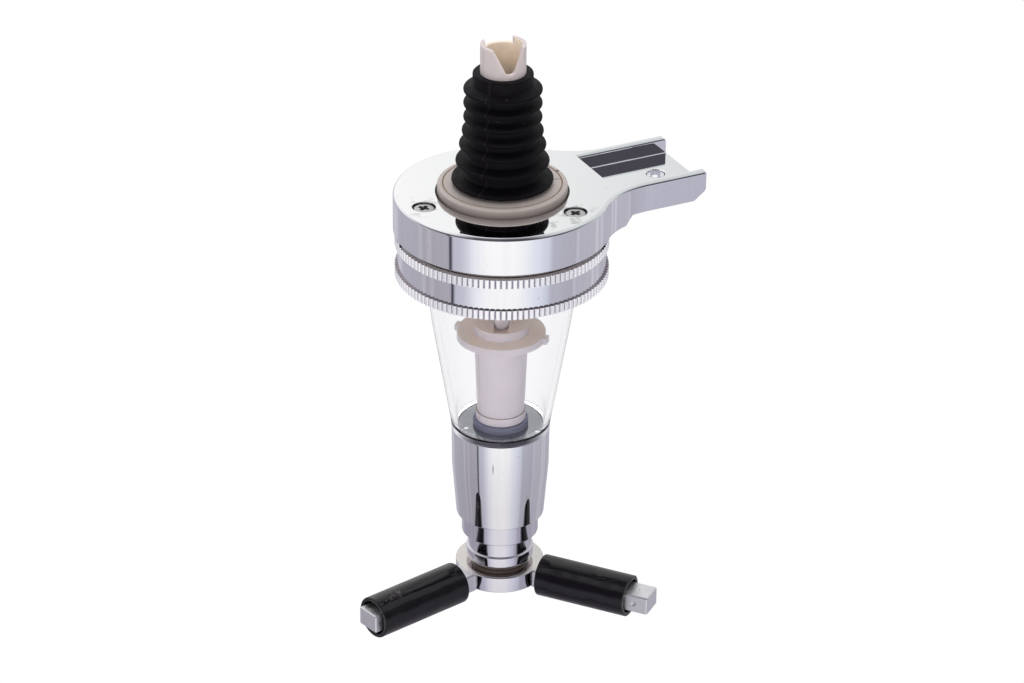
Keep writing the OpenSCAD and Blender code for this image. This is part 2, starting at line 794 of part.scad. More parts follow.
// A bar out of the lever ring's side
module bar(angle, reach) {
    rotate(angle) translate([lever_r - cut, -bar_w / 2, z_bar - bar_h / 2])
        cube([reach - lever_r + cut, bar_w, bar_h]);
}

// Punch marks in the top and the outer side of a bar, which keep a sleeve from sliding off
module punch_marks(angle, reach, side) {
    rotate(angle) translate([reach - punch_inset, 0, z_bar]) {
        translate([0, 0, bar_h / 2]) sphere(d = punch_d);
        translate([0, side * bar_w / 2, 0]) sphere(d = punch_d);
    }
}

module lever_ring() {
    color("#cfcdd0") difference() {
        union() {
            rounded_disc(lever_r, z_lever_low, z_lever_top, soft_edge, soft_edge);
            bar(left_bar_angle, left_bar_reach);
            bar(right_bar_angle, right_bar_reach);
        }
        disc(journal_r + run_clear, z_lever_low - cut, z_lever_top + cut);
        punch_marks(left_bar_angle, left_bar_reach, 1);
        punch_marks(right_bar_angle, right_bar_reach, -1);
    }
}

module sleeve(angle, start, length) {
    color("#1c1b1e") rotate(angle) translate([start, 0, z_bar]) rotate([0, 90, 0])
        tube(sleeve_r, sleeve_bore_r, 0, length);
}

module left_sleeve() {
    sleeve(left_bar_angle, left_sleeve_start, left_sleeve_len);
}

module right_sleeve() {
    sleeve(right_bar_angle, right_sleeve_start, right_sleeve_len);
}

bracket_head();
valve_body();
head_screws();
inlet_seat();
inlet_tube();
tube_o_ring();
bottle_cork();
body_gasket();
measuring_chamber();
outlet_seal();
neck_gasket();
outlet_collar();
spring_washer();
return_spring();
clamp_ring();
valve_spool();
foot_ring();
valve_rod();
inlet_disc();
disc_backing();
rod_cap();
rod_spider();
spout();
spout_o_ring();
thrust_washer();
lever_clip();
lever_ring();
left_sleeve();
right_sleeve();
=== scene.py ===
from math import acos, cos, degrees, pi, radians, sin, sqrt

import bmesh
import bpy
from mathutils import Matrix, Vector


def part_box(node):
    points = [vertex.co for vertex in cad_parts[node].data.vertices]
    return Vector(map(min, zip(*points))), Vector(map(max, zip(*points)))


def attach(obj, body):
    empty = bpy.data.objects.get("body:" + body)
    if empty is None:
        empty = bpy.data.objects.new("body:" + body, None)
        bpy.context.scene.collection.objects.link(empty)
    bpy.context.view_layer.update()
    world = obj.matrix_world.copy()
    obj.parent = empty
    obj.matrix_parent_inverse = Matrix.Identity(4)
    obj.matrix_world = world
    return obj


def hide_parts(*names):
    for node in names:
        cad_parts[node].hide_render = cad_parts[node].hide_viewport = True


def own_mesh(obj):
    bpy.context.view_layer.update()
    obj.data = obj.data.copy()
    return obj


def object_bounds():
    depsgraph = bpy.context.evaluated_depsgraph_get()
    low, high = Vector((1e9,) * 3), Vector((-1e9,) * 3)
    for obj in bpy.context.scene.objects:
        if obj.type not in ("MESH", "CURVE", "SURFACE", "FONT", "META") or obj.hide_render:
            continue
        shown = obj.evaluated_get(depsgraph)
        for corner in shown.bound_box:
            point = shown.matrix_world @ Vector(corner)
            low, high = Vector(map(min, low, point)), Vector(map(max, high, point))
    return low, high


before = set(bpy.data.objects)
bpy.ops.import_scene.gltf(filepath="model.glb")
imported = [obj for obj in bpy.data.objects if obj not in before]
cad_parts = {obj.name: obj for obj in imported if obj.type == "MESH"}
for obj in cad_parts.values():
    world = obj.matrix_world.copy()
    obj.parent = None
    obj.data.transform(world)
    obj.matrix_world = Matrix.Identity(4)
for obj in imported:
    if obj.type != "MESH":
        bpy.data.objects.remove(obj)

cad_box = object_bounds()


# Valve body: the moulded core that everything is screwed to. Its boss stands up through the head, its rim
# shows as a thin band under the head, and its threaded spigot below carries the clamp ring.
mm = 0.001
ROUND_STEPS = 192


def turned(outline, steps=ROUND_STEPS):
    """A solid of revolution round the main axis, from a closed outline of (radius, height) points."""
    bm = bmesh.new()
    verts = [bm.verts.new((r, 0, z)) for r, z in outline]
    edges = [bm.edges.new(pair) for pair in zip(verts, verts[1:] + verts[:1])]
    bmesh.ops.spin(bm, geom=verts + edges, cent=(0, 0, 0), axis=(0, 0, 1), angle=2 * pi, steps=steps, use_merge=True)
    bmesh.ops.remove_doubles(bm, verts=bm.verts, dist=1e-7)
    bmesh.ops.recalc_face_normals(bm, faces=bm.faces)
    return bm


def plain_tube(inner, outer, low, high, steps=ROUND_STEPS):
    """A straight round tube on the main axis."""
    return turned([(inner, low), (outer, low), (outer, high), (inner, high)], steps)


def soften(bm, width, segments=3, where=lambda centre: True):
    """Rounds the sharp edges whose middle point passes the test."""
    edges = [e for e in bm.edges if e.calc_face_angle(0) > radians(25) and where((e.verts[0].co + e.verts[1].co) / 2)]
    bmesh.ops.bevel(bm, geom=edges, offset=width, offset_type="OFFSET", affect="EDGES", segments=segments,
                    profile=0.5, material=-1, clamp_overlap=True)


def linear(colour):
    """An sRGB hex colour as the linear RGBA that a shader socket takes."""
    channels = [int(colour[i:i + 2], 16) / 255 for i in (1, 3, 5)]
    return [c / 12.92 if c <= 0.04045 else ((c + 0.055) / 1.055) ** 2.4 for c in channels] + [1]


def add(finish, kind, inputs=None, **settings):
    """Adds a shader node. An input is a value, a hex colour, a socket, or a node, which feeds it from its first
    output in use."""
    tree = finish.node_tree
    node = tree.nodes.new("ShaderNode" + kind)
    for name, value in settings.items():
        setattr(node, name, value)
    for name, value in (inputs or {}).items():
        if isinstance(value, bpy.types.Node):
            value = next(socket for socket in value.outputs if socket.enabled)
        if isinstance(value, bpy.types.NodeSocket):
            tree.links.new(value, node.inputs[name])
        else:
            node.inputs[name].default_value = linear(value) if isinstance(value, str) else value
    return node


def new_finish(name):
    """An empty material, and the Object coordinates that its patterns follow."""
    finish = bpy.data.materials.new(name)
    finish.use_nodes = True
    finish.node_tree.nodes.clear()
    return finish, add(finish, "TexCoord").outputs["Object"]


def uneven(finish, place, size, detail, strength, depth):
    """A relief of bumps of about one size, as the normal of a surface."""
    bumps = add(finish, "TexNoise", {"Vector": place, "Scale": 1 / size, "Detail": detail})
    return add(finish, "Bump", {"Height": bumps, "Strength": strength, "Distance": depth})


def mottled(name, patch, tones, surface, detail=4, breakup=0.5, sheen=None, spread=(0.3, 0.7), grain=None):
    """A finish that drifts between two tones in patches of one size. Its sheen, a pair of roughnesses, may drift with
    them, and a grain, as (size, detail, strength, depth), may stand out."""
    finish, place = new_finish(name)
    patches = add(finish, "TexNoise", {"Vector": place, "Scale": 1 / patch, "Detail": detail, "Roughness": breakup})
    tint = add(finish, "Mix", {0: patches, 6: tones[0], 7: tones[1]}, data_type="RGBA")
    surface = {"Base Color": tint, **surface}
    if sheen:
        surface["Roughness"] = add(finish, "MapRange", dict(enumerate((patches, *spread, *sheen))))
    if grain:
        surface["Normal"] = uneven(finish, place, *grain)
    shader = add(finish, "BsdfPrincipled", surface)
    add(finish, "OutputMaterial", {"Surface": shader})
    return finish


def placed(name, bm):
    """A new object in the scene, made from a shape."""
    mesh = bpy.data.meshes.new(name)
    bm.to_mesh(mesh)
    bm.free()
    made = bpy.data.objects.new(name, mesh)
    bpy.context.collection.objects.link(made)
    return made


def piece(name, bm, finishes, body, slot, *nodes, sharp_angle=38):
    """Makes a finished shape a piece of the object, which rides on a body and stands for CAD nodes."""
    made = placed(name, bm)
    made.data.shade_smooth()
    made.data.set_sharp_from_angle(angle=radians(sharp_angle))
    for finish in finishes:
        made.data.materials.append(finish)
    made.modifiers.new("even_shading", "WEIGHTED_NORMAL").keep_sharp = True
    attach(made, body)
    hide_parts(*nodes)
    return made


def combine(bm, operation, *tools):
    """Takes the tools out of a solid (DIFFERENCE), or joins them to it (UNION), one after another."""
    for tool in tools:
        solid, helper = placed("solid", bm), placed("tool", tool)
        modifier = solid.modifiers.new("combine", "BOOLEAN")
        modifier.operation, modifier.object, modifier.solver = operation, helper, "EXACT"
        bpy.context.view_layer.update()
        shaped = solid.evaluated_get(bpy.context.evaluated_depsgraph_get())
        bm = bmesh.new()
        bm.from_mesh(shaped.to_mesh())
        bpy.data.meshes.remove(solid.data)
        bpy.data.meshes.remove(helper.data)
        bmesh.ops.remove_doubles(bm, verts=bm.verts, dist=1e-7)
        bmesh.ops.dissolve_degenerate(bm, dist=1e-7, edges=bm.edges)
    return bm


def coat(bm, number, where):
    """Gives the piece's finish of that number to the faces whose middle point and normal pass the test."""
    for face in bm.faces:
        if where(face.calc_center_median(), face.normal):
            face.material_index = number


def swing(bm, *turns):
    """Turns a shape about the origin. Of the (angle, axis) steps, the last is made first."""
    matrix = Matrix.Identity(3)
    for angle, axis in turns:
        matrix = matrix @ Matrix.Rotation(radians(angle), 3, axis)
    bmesh.ops.rotate(bm, cent=(0, 0, 0), matrix=matrix, verts=bm.verts)


def block(length, width, low, high, start=0, angle=0):
    """A square-edged block that runs outwards along an angle from the main axis."""
    bm = bmesh.new()
    bmesh.ops.create_cube(bm, size=1)
    bmesh.ops.scale(bm, vec=(length, width, high - low), verts=bm.verts)
    bmesh.ops.translate(bm, vec=(start + length / 2, 0, (low + high) / 2), verts=bm.verts)
    swing(bm, (angle, "Z"))
    return bm


body_low, body_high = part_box("valve_body")
rim_r = body_high.x
z_boss = body_high.z
z_spigot = body_low.z
z_plate = -3.6 * mm
z_head = -10.4 * mm
z_rim = -11.85 * mm
boss_r = 16.9 * mm
boss_edge = 0.7 * mm
plate_r = 25.77 * mm
spigot_r = 24.5 * mm
socket_r = 5.93 * mm
tube_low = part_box("inlet_tube")[0].z
inlet_r = 4.2 * mm
seat_r = 8.6 * mm
seat_low, seat_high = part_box("inlet_seat")
hollow_r = 17.5 * mm
groove_r = boss_r - 1.7 * mm
groove_w = 0.4 * mm
groove_depth = 0.2 * mm
rim_notch_w = 1.1 * mm
rim_notch_len = 4 * mm
rim_notch_depth = 0.6 * mm
arm_angle = 90
step_angle = 72
step_w = 0.3 * mm
cork_skirt_r = 13 * mm

body = turned([(socket_r, z_boss), (groove_r, z_boss), (groove_r + groove_w / 2, z_boss - groove_depth),
               (groove_r + groove_w, z_boss), (boss_r, z_boss), (boss_r, z_plate), (plate_r, z_plate),
               (plate_r, z_head), (rim_r, z_head), (rim_r, z_rim), (spigot_r, z_rim), (spigot_r, z_spigot),
               (hollow_r, z_spigot), (hollow_r, seat_low.z), (seat_r, seat_low.z), (seat_r, seat_high.z),
               (inlet_r, seat_high.z), (inlet_r, tube_low), (socket_r, tube_low)])
soften(body, boss_edge, 4, lambda p: p.z > z_boss - 0.1 * mm and p.xy.length > boss_r - 0.1 * mm)
body = combine(body, "DIFFERENCE",
               block(rim_notch_len, rim_notch_w, z_boss - rim_notch_depth, z_boss + mm, groove_r + groove_w, arm_angle),
               block(groove_r - cork_skirt_r, step_w, z_boss - groove_depth, z_boss + mm, cork_skirt_r, step_angle))

# Acetal, moulded in a warm grey: a soft sheen, faint flow marks and a fine matt grain. Its sides are painted darker
# towards the base of the boss, as shade where it comes out of the head.
grey_acetal, place = new_finish("grey_acetal")
flow = add(grey_acetal, "TexNoise", {"Vector": place, "Scale": 1 / (9 * mm), "Detail": 4, "Roughness": 0.6})
grain = add(grey_acetal, "TexNoise", {"Vector": place, "Scale": 1 / (0.35 * mm), "Detail": 2})
plain_tone = add(grey_acetal, "Mix", {0: flow, 6: "#a89d98", 7: "#bab0ab"}, data_type="RGBA")
rise = add(grey_acetal, "SeparateXYZ", {0: place}).outputs[2]
# Painted shade: darker towards the boss's base, where it comes out of the head.
painted_base_shade = add(grey_acetal, "MapRange", {0: rise, 1: 0.1 * mm, 2: 2.1 * mm, 3: 0.8, 4: 0})
tint = add(grey_acetal, "Mix", {0: painted_base_shade, 6: plain_tone, 7: "#6f625d"}, data_type="RGBA")
sheen = add(grey_acetal, "MapRange", {0: grain, 1: 0.3, 2: 0.7, 3: 0.34, 4: 0.46})
relief = add(grey_acetal, "Bump", {"Height": grain, "Strength": 0.12, "Distance": 0.03 * mm})
shader = add(grey_acetal, "BsdfPrincipled", {"Base Color": tint, "Roughness": sheen, "IOR": 1.48, "Normal": relief})
add(grey_acetal, "OutputMaterial", {"Surface": shader})

# Brown grime that has dried in the groove: dull and uneven.
groove_grime = mottled("dried_grime", 1.5 * mm, ("#7f6a58", "#a08c79"), {"Roughness": 0.7})

# The same acetal, smooth round the rim, and painted darker there as shade under the head.
shaded_rim_acetal = mottled("rim_acetal_painted_shade", 9 * mm, ("#8f8684", "#9c9392"), {"Roughness": 0.3, "IOR": 1.48})
coat(body, 1, lambda p, n: groove_r < p.xy.length < groove_r + groove_w
     and z_boss - groove_depth < p.z < z_boss - 0.05 * mm)
coat(body, 2, lambda p, n: p.xy.length > rim_r - 0.1 * mm)
piece("valve_body_moulding", body, [grey_acetal, groove_grime, shaded_rim_acetal], "head", "grey_plastic", "valve_body")


# Inlet seat, gaskets and O-rings: punched and moulded nitrile rubber, pressed between the hard pieces.
# They are hidden in the assembled measure and are seen only through the chamber or at an open joint.
def dress(finish, *nodes):
    """Gives CAD nodes that stay as they are a better finish."""
    for node in nodes:
        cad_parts[node].data.materials.clear()
        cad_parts[node].data.materials.append(finish)


# Nitrile: matt, clouded with bloom, and finely grained.
black_nitrile = mottled("black_nitrile", 5 * mm, ("#1b1a1d", "#2d2c30"),
                        {"Roughness": 0.62, "Specular IOR Level": 0.35}, detail=3, grain=(0.4 * mm, 3, 0.2, 0.03 * mm))
dress(black_nitrile, "tube_o_ring", "body_gasket", "spout_o_ring")

grey_nitrile = mottled("grey_nitrile", 4 * mm, ("#6a6d80", "#787b90"),
                       {"Roughness": 0.55, "Specular IOR Level": 0.4}, detail=3, grain=(0.4 * mm, 3, 0.15, 0.03 * mm))
dress(grey_nitrile, "inlet_seat", "inlet_disc")

# Pressed fibre for the neck gasket: a pale grey-green that shows through the chamber's floor.
grey_fibre = mottled("grey_fibre", 0.6 * mm, ("#8d9391", "#a4aaa7"), {"Roughness": 0.75})
dress(grey_fibre, "neck_gasket")


# Inlet tube: a moulded ivory tube pushed into the valve body. Two cuts in its tip let the last of the drink
# in: a deep one with a round bottom, and a shallow one behind it.
def prism(outline, low, high):
    """A straight-sided solid: a flat outline of (x, y) points, extruded from one height to another."""
    bm = bmesh.new()
    face = bm.faces.new([bm.verts.new((x, y, low)) for x, y in outline])
    grown = bmesh.ops.extrude_face_region(bm, geom=[face])["geom"]
    bmesh.ops.translate(bm, vec=(0, 0, high - low), verts=[v for v in grown if isinstance(v, bmesh.types.BMVert)])
    bmesh.ops.recalc_face_normals(bm, faces=bm.faces)
    return bm


def arc(centre, radius, start, end, steps=16):
    """Points of an arc between two angles in degrees."""
    turns = [radians(start + (end - start) * i / steps) for i in range(steps + 1)]
    return [(centre[0] + radius * cos(a), centre[1] + radius * sin(a)) for a in turns]


def mould_seam(finish, place, angle, core, edge, strength):
    """How much a mould seam shows. It lies in the upright plane that stands at an angle through the main axis."""
    across = (sin(radians(angle)), -cos(radians(angle)), 0)
    offset = add(finish, "VectorMath", {0: place, 1: across}, operation="DOT_PRODUCT")
    apart = add(finish, "Math", {0: offset}, operation="ABSOLUTE")
    return add(finish, "MapRange", {0: apart, 1: core, 2: edge, 3: strength, 4: 0})


tube_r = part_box("inlet_tube")[1].x
tube_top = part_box("inlet_tube")[1].z
tube_bore_r = tube_r - 1.1 * mm
notch_angle = -8
notch_w = 7.9 * mm
notch_deep = 6.4 * mm
notch_bottom_r = notch_w / 5
notch_shallow = 1.6 * mm
seam_angle = -85

deep_notch = prism(arc((0, tube_top - notch_deep + notch_bottom_r), notch_bottom_r, 190, 350, 24)
                   + [(notch_w / 2, tube_top), (notch_w / 2, tube_top + mm), (-notch_w / 2, tube_top + mm),
                      (-notch_w / 2, tube_top)], 0, 2 * tube_r)
swing(deep_notch, (notch_angle, "Z"), (90, "Z"), (90, "X"))
tube = plain_tube(tube_bore_r, tube_r, tube_low, tube_top)
tube = combine(tube, "DIFFERENCE", deep_notch,
               block(2 * tube_r, notch_w, tube_top - notch_shallow, tube_top + mm, 0, notch_angle + 180))
soften(tube, 0.12 * mm, 2, lambda p: p.z > tube_low + mm)

# Acetal in its natural ivory: pale and waxy, with a mould seam down the side. In the bore, where the drink stands
# on it, it is stained tan, and painted paler than the outside: painted light for the shaded bore.
ivory_acetal, place = new_finish("ivory_acetal")
seam = mould_seam(ivory_acetal, place, seam_angle, 0.05 * mm, 0.16 * mm, 0.6)
flow = add(ivory_acetal, "TexNoise", {"Vector": place, "Scale": 1 / (7 * mm), "Detail": 4})
rise = add(ivory_acetal, "SeparateXYZ", {0: place}).outputs[2]
in_air = add(ivory_acetal, "MapRange", {0: rise, 1: z_head, 2: 0})
fresh = add(ivory_acetal, "Mix", {0: flow, 6: "#c9c1c5", 7: "#d5ced3"}, data_type="RGBA")
tint = add(ivory_acetal, "Mix", {0: in_air, 6: fresh, 7: "#c5bbbb"}, data_type="RGBA")
seamed = add(ivory_acetal, "Mix", {0: seam, 6: tint, 7: "#a89890"}, data_type="RGBA")
relief = uneven(ivory_acetal, place, 0.35 * mm, 2, 0.1, 0.03 * mm)
shader = add(ivory_acetal, "BsdfPrincipled", {"Base Color": seamed, "Roughness": 0.4, "IOR": 1.48,
                                              "Subsurface Weight": 0.4, "Subsurface Radius": (1, 0.8, 0.7),
                                              "Subsurface Scale": 2 * mm, "Normal": relief})
add(ivory_acetal, "OutputMaterial", {"Surface": shader})

# Painted light: the bore's tan stain is paler than the outer ivory, for light that the shaded bore does not get.
stained_lit_ivory = mottled("stained_ivory_painted_light", 2.5 * mm, ("#e2d3c2", "#efe4d8"),
                        {"Roughness": 0.45, "IOR": 1.48, "Subsurface Weight": 0.4, "Subsurface Radius": (1, 0.8, 0.6),
                         "Subsurface Scale": 2 * mm})
coat(tube, 1, lambda p, n: p.xy.length < tube_bore_r + 0.2 * mm and p.z < tube_top - 0.2 * mm)
piece("inlet_tube_moulding", tube, [ivory_acetal, stained_lit_ivory], "head", "ivory_plastic", "inlet_tube")


# Cork: moulded black rubber that grips in the bottle's neck. Its seven thin ribs bend as it is pushed in,
# and the lower ones flare out to seal in wider necks.
cork_low, cork_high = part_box("bottle_cork")
cork_bore_r = tube_r + 0.03 * mm
cork_top_r = 7.8 * mm
cork_foot_r = 9.4 * mm
rib_count = 7
rib_r = 10.15 * mm
rib_flare = cork_high.x - rib_r
rib_start = 4.6 * mm
rib_pitch = 3.85 * mm
rib_lip = 1.3 * mm
rib_spread = 0.75 * mm
spread_from = 4
flare_from = 2
cork_seam_angle = -53

outline = [(cork_bore_r, cork_high.z), (cork_bore_r, cork_low.z), (cork_foot_r, cork_low.z)]
for i in reversed(range(rib_count)):
    z = cork_high.z - rib_start - rib_pitch * i - rib_spread * max(0, i - spread_from) ** 1.8
    z = max(z, cork_low.z + rib_lip)
    edge = rib_r + rib_flare * (max(0, i - flare_from) / (rib_count - 1 - flare_from)) ** 1.5
    root = cork_top_r + (cork_foot_r - cork_top_r) * i / (rib_count - 1)
    if i < rib_count - 1:
        outline.append((root, z - rib_lip))
    outline += arc((edge - rib_lip / 2, z), rib_lip / 2, -90, 90, 8) + [(root, z + rib_lip)]
outline.append((cork_top_r, cork_high.z))
cork = turned(outline)
soften(cork, 0.35 * mm, 3, lambda p: p.xy.length > cork_bore_r + 0.1 * mm)

# Natural rubber, filled black: matt, dusty on its ribs, with lint specks and a mould seam.
black_rubber, place = new_finish("black_rubber")
dust = add(black_rubber, "TexNoise", {"Vector": place, "Scale": 1 / (3 * mm), "Detail": 5, "Roughness": 0.65})
lint = add(black_rubber, "TexVoronoi", {"Vector": place, "Scale": 1 / (4 * mm)})
speck = add(black_rubber, "MapRange", {0: lint, 1: 0.02, 2: 0.035, 3: 1, 4: 0})
tint = add(black_rubber, "Mix", {0: dust, 6: "#060307", 7: "#0f0b11"}, data_type="RGBA")
dotted = add(black_rubber, "Mix", {0: speck, 6: tint, 7: "#6e6c72"}, data_type="RGBA")
seam = mould_seam(black_rubber, place, cork_seam_angle, 0.06 * mm, 0.14 * mm, 0.5)
seamed = add(black_rubber, "Mix", {0: seam, 6: dotted, 7: "#3a363c"}, data_type="RGBA")
sheen = add(black_rubber, "MapRange", {0: dust, 1: 0.3, 2: 0.7, 3: 0.5, 4: 0.68})
relief = uneven(black_rubber, place, 0.25 * mm, 3, 0.25, 0.03 * mm)
shader = add(black_rubber, "BsdfPrincipled", {"Base Color": seamed, "Roughness": sheen,
                                              "Specular IOR Level": 0.17, "Normal": relief})
add(black_rubber, "OutputMaterial", {"Surface": shader})
piece("ribbed_cork", cork, [black_rubber], "head", "black_rubber", "bottle_cork")


# Bracket head: a zinc casting, a round cup with a U-channel arm that is bolted to the bottle rack.
# The edges of its top are rounded, and the arm's underside steps up from the cup's lower edge.
head_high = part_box("bracket_head")[1]
head_r = head_high.x
arm_reach = head_high.y
head_edge = 1 * mm
head_inner_r = head_r - 2.5 * mm
boss_hole_r = boss_r + 0.5 * mm
arm_half_w = 12.6 * mm
rail_t = 2.4 * mm
rail_h = 8 * mm
rail_corner = 1 * mm
rail_round = 1.3 * mm
rail_edge = 0.9 * mm
rail_fillet = 0.2 * mm
channel_depth = 4.3 * mm
channel_start = head_r - 1.4 * mm
blend_r = 20 * mm
arm_root = 0.9 * mm
slope_len = 2.2 * mm
end_cut_len = 3.9 * mm
end_cut_h = 2.9 * mm
fixing_r = 2.35 * mm
fixing_y = arm_reach - 8.6 * mm
screw_circle_r = 22.4 * mm
screw_angles = (30, 150, 270)
screw_head_r = 2.7 * mm
screw_recess_r = 3.1 * mm
z_screw_seat = -2.3 * mm

blend_x = arm_half_w + blend_r
blend_y = sqrt((head_r + blend_r) ** 2 - blend_x ** 2)
blend_angle = degrees(acos(blend_x / (head_r + blend_r)))
corner_x = arm_half_w - rail_corner
corner_y = arm_reach - rail_corner
plan = (arc((0, 0), head_r, 180 - blend_angle, 360 + blend_angle, 150)
        + arc((blend_x, blend_y), blend_r, 180 + blend_angle, 180, 20)[1:]
        + arc((corner_x, corner_y), rail_corner, 0, 90, 6) + arc((-corner_x, corner_y), rail_corner, 90, 180, 6)
        + arc((-blend_x, blend_y), blend_r, 0, -blend_angle, 20)[:-1])
head = prism(plan, z_head, 0)
soften(head, head_edge, 5, lambda p: p.z > -0.1 * mm)
under_arm = prism([(head_r + arm_root, z_head), (head_r + arm_root, z_head - mm), (arm_reach + mm, z_head - mm),
                   (arm_reach + mm, end_cut_h - rail_h), (arm_reach, end_cut_h - rail_h),
                   (arm_reach - end_cut_len, -rail_h), (head_r + arm_root + slope_len, -rail_h)], -head_r, head_r)
rail_ends = prism(arc((arm_reach - rail_round, -rail_round), rail_round, 90, 0, 8)
                  + [(arm_reach + mm, -rail_round), (arm_reach + mm, mm), (arm_reach - rail_round, mm)],
                  -head_r, head_r)
for cutter in (under_arm, rail_ends):
    swing(cutter, (90, "Z"), (90, "X"))


def drill(radius, low, high, x, y, steps=48):
    """A round cutter that stands upright at (x, y)."""
    bm = bmesh.new()
    bmesh.ops.create_cone(bm, cap_ends=True, segments=steps, radius1=radius, radius2=radius, depth=high - low,
                          matrix=Matrix.Translation((x, y, (low + high) / 2)))
    return bm


def from_spots(finish, place, spots):
    """The distance to the nearest of some spots."""
    nearest = 1
    for spot in spots:
        reach = add(finish, "VectorMath", {0: place, 1: spot}, operation="DISTANCE")
        nearest = add(finish, "Math", {0: reach, 1: nearest}, operation="MINIMUM")
    return nearest


screw_spots = [(screw_circle_r * cos(radians(a)), screw_circle_r * sin(radians(a))) for a in screw_angles]
rail_face_x = arm_half_w - rail_t
half_channel = (arc((rail_face_x - rail_fillet, rail_fillet - channel_depth), rail_fillet, -90, 0, 6)
                + arc((rail_face_x + rail_edge, -rail_edge), rail_edge, 180, 90, 8) + [(rail_face_x + rail_edge, mm)])
channel = prism(half_channel + [(-x, z) for x, z in reversed(half_channel)], -arm_reach - mm, -channel_start)
swing(channel, (90, "X"))
head = combine(head, "DIFFERENCE", under_arm, rail_ends, channel,
               drill(head_inner_r, z_head - mm, z_plate, 0, 0, ROUND_STEPS),
               drill(boss_hole_r, z_plate - mm, mm, 0, 0, ROUND_STEPS), drill(fixing_r, z_head - mm, mm, 0, fixing_y),
               *[drill(screw_recess_r, z_screw_seat, mm, x, y) for x, y in screw_spots])
soften(head, 0.4 * mm, 3, lambda p: p.z < -rail_h + 0.1 * mm and p.xy.length > head_r - 0.2 * mm)
fixing_at = Vector((0, fixing_y))
soften(head, 0.45 * mm, 3, lambda p: (p.xy - fixing_at).length < fixing_r + 0.1 * mm and p.z > -rail_h + mm)
soften(head, 0.15 * mm, 2, lambda p: p.z < -0.2 * mm or p.xy.length < head_r - mm)

# Chromium plate on polished zinc: a cool mirror, with fine upright wipe streaks on its walls, a few pits,
# drops that dried on the top face near the screws, and one long drip mark on the collar.
drip_at = (10.63 * mm, -7.49 * mm, -75.5 * mm)
drop_spots = [(x, y, 0) for x, y in (screw_spots[0], screw_spots[2], (24.1 * mm, 4.9 * mm))]

chrome, place = new_finish("chromium_plate")
facing = add(chrome, "SeparateXYZ", {0: add(chrome, "NewGeometry").outputs["Normal"]}).outputs[2]
level_face = add(chrome, "MapRange", {0: facing, 1: 0.9, 2: 0.99})
drawn = add(chrome, "Mapping", {"Vector": place, "Scale": (1, 1, 0.04)})
streaks = add(chrome, "TexNoise", {"Vector": drawn, "Scale": 1 / (1.4 * mm), "Detail": 3})
wiped = add(chrome, "MapRange", {0: streaks, 1: 0.35, 2: 0.65})
upright = add(chrome, "Mix", {0: wiped, 6: "#f5f5f8", 7: "#f9f9fb"}, data_type="RGBA")
plate = add(chrome, "Mix", {0: level_face, 6: upright, 7: "#fafafb"}, data_type="RGBA")
nearest = from_spots(chrome, place, drop_spots)
near_drops = add(chrome, "MapRange", {0: nearest, 1: 3 * mm, 2: 7 * mm, 3: 1, 4: 0})
spill = add(chrome, "TexNoise", {"Vector": place, "Scale": 1 / (3.5 * mm), "Detail": 4, "Roughness": 0.55})
dried = add(chrome, "MapRange", {0: spill, 1: 0.52, 2: 0.6})
drops = add(chrome, "Math", {0: near_drops, 1: dried}, operation="MULTIPLY")
level_drops = add(chrome, "Math", {0: drops, 1: level_face}, operation="MULTIPLY")
spotted = add(chrome, "Mix", {0: level_drops, 6: plate, 7: "#cfcfcb"}, data_type="RGBA")
from_drip = add(chrome, "VectorMath", {0: place, 1: drip_at}, operation="SUBTRACT")
along_drip = add(chrome, "VectorMath", {0: from_drip, 1: (1, 1, 0.12)}, operation="MULTIPLY")
drip_reach = add(chrome, "VectorMath", {0: along_drip}, operation="LENGTH")
drip = add(chrome, "MapRange", {0: drip_reach, 1: 0.08 * mm, 2: 0.24 * mm, 3: 0.8, 4: 0})
holes = add(chrome, "TexVoronoi", {"Vector": place, "Scale": 1 / (4 * mm)})
pits = add(chrome, "MapRange", {0: holes, 1: 0.03, 2: 0.045, 3: 0.7, 4: 0})
flaws = add(chrome, "Math", {0: drip, 1: pits}, operation="MAXIMUM")
tint = add(chrome, "Mix", {0: flaws, 6: spotted, 7: "#77757d"}, data_type="RGBA")
smear = add(chrome, "TexNoise", {"Vector": place, "Scale": 1 / (11 * mm), "Detail": 5, "Roughness": 0.6})
sheen = add(chrome, "MapRange", {0: smear, 1: 0.35, 2: 0.75, 3: 0.02, 4: 0.06})
shader = add(chrome, "BsdfPrincipled", {"Base Color": tint, "Metallic": 1, "Roughness": sheen})
add(chrome, "OutputMaterial", {"Surface": shader})
piece("bracket_casting", head, [chrome], "head", "chrome", "bracket_head")


# Head screws: three zinc-plated pan screws with cross recesses, sunk in the head, that hold the valve body.
screw_low, screw_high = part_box("head_screws")
screw_shank_r = 1.5 * mm
recess_reach = 1.5 * mm
recess_w = 1.05 * mm
recess_depth = 1.1 * mm
screw_turns = (20, 55, 35)

screws = bmesh.new()
for (x, y), turn in zip(screw_spots, screw_turns):
    screw = turned([(0, screw_high.z), (screw_head_r, screw_high.z), (screw_head_r, z_screw_seat),
                    (screw_shank_r, z_screw_seat), (screw_shank_r, screw_low.z), (0, screw_low.z)], 48)
    bmesh.ops.delete(screw, geom=[e for e in screw.edges if not e.link_faces], context="EDGES")
    soften(screw, 0.35 * mm, 3, lambda p: p.z > z_screw_seat + 0.1 * mm)
    z_recess = screw_high.z - recess_depth
    screw = combine(screw, "DIFFERENCE",
                    *[block(2 * recess_reach, recess_w, z_recess, screw_high.z + mm, -recess_reach, turn + a)
                      for a in (0, 90)],
                    *[block(1.3 * recess_reach, recess_w / 3, z_recess / 2 + screw_high.z / 2,
                            screw_high.z + mm, -0.65 * recess_reach, turn + a) for a in (45, 135)])
    bmesh.ops.translate(screw, vec=(x, y, 0), verts=screw.verts)
    single = placed("screw", screw).data
    screws.from_mesh(single)
    bpy.data.meshes.remove(single)

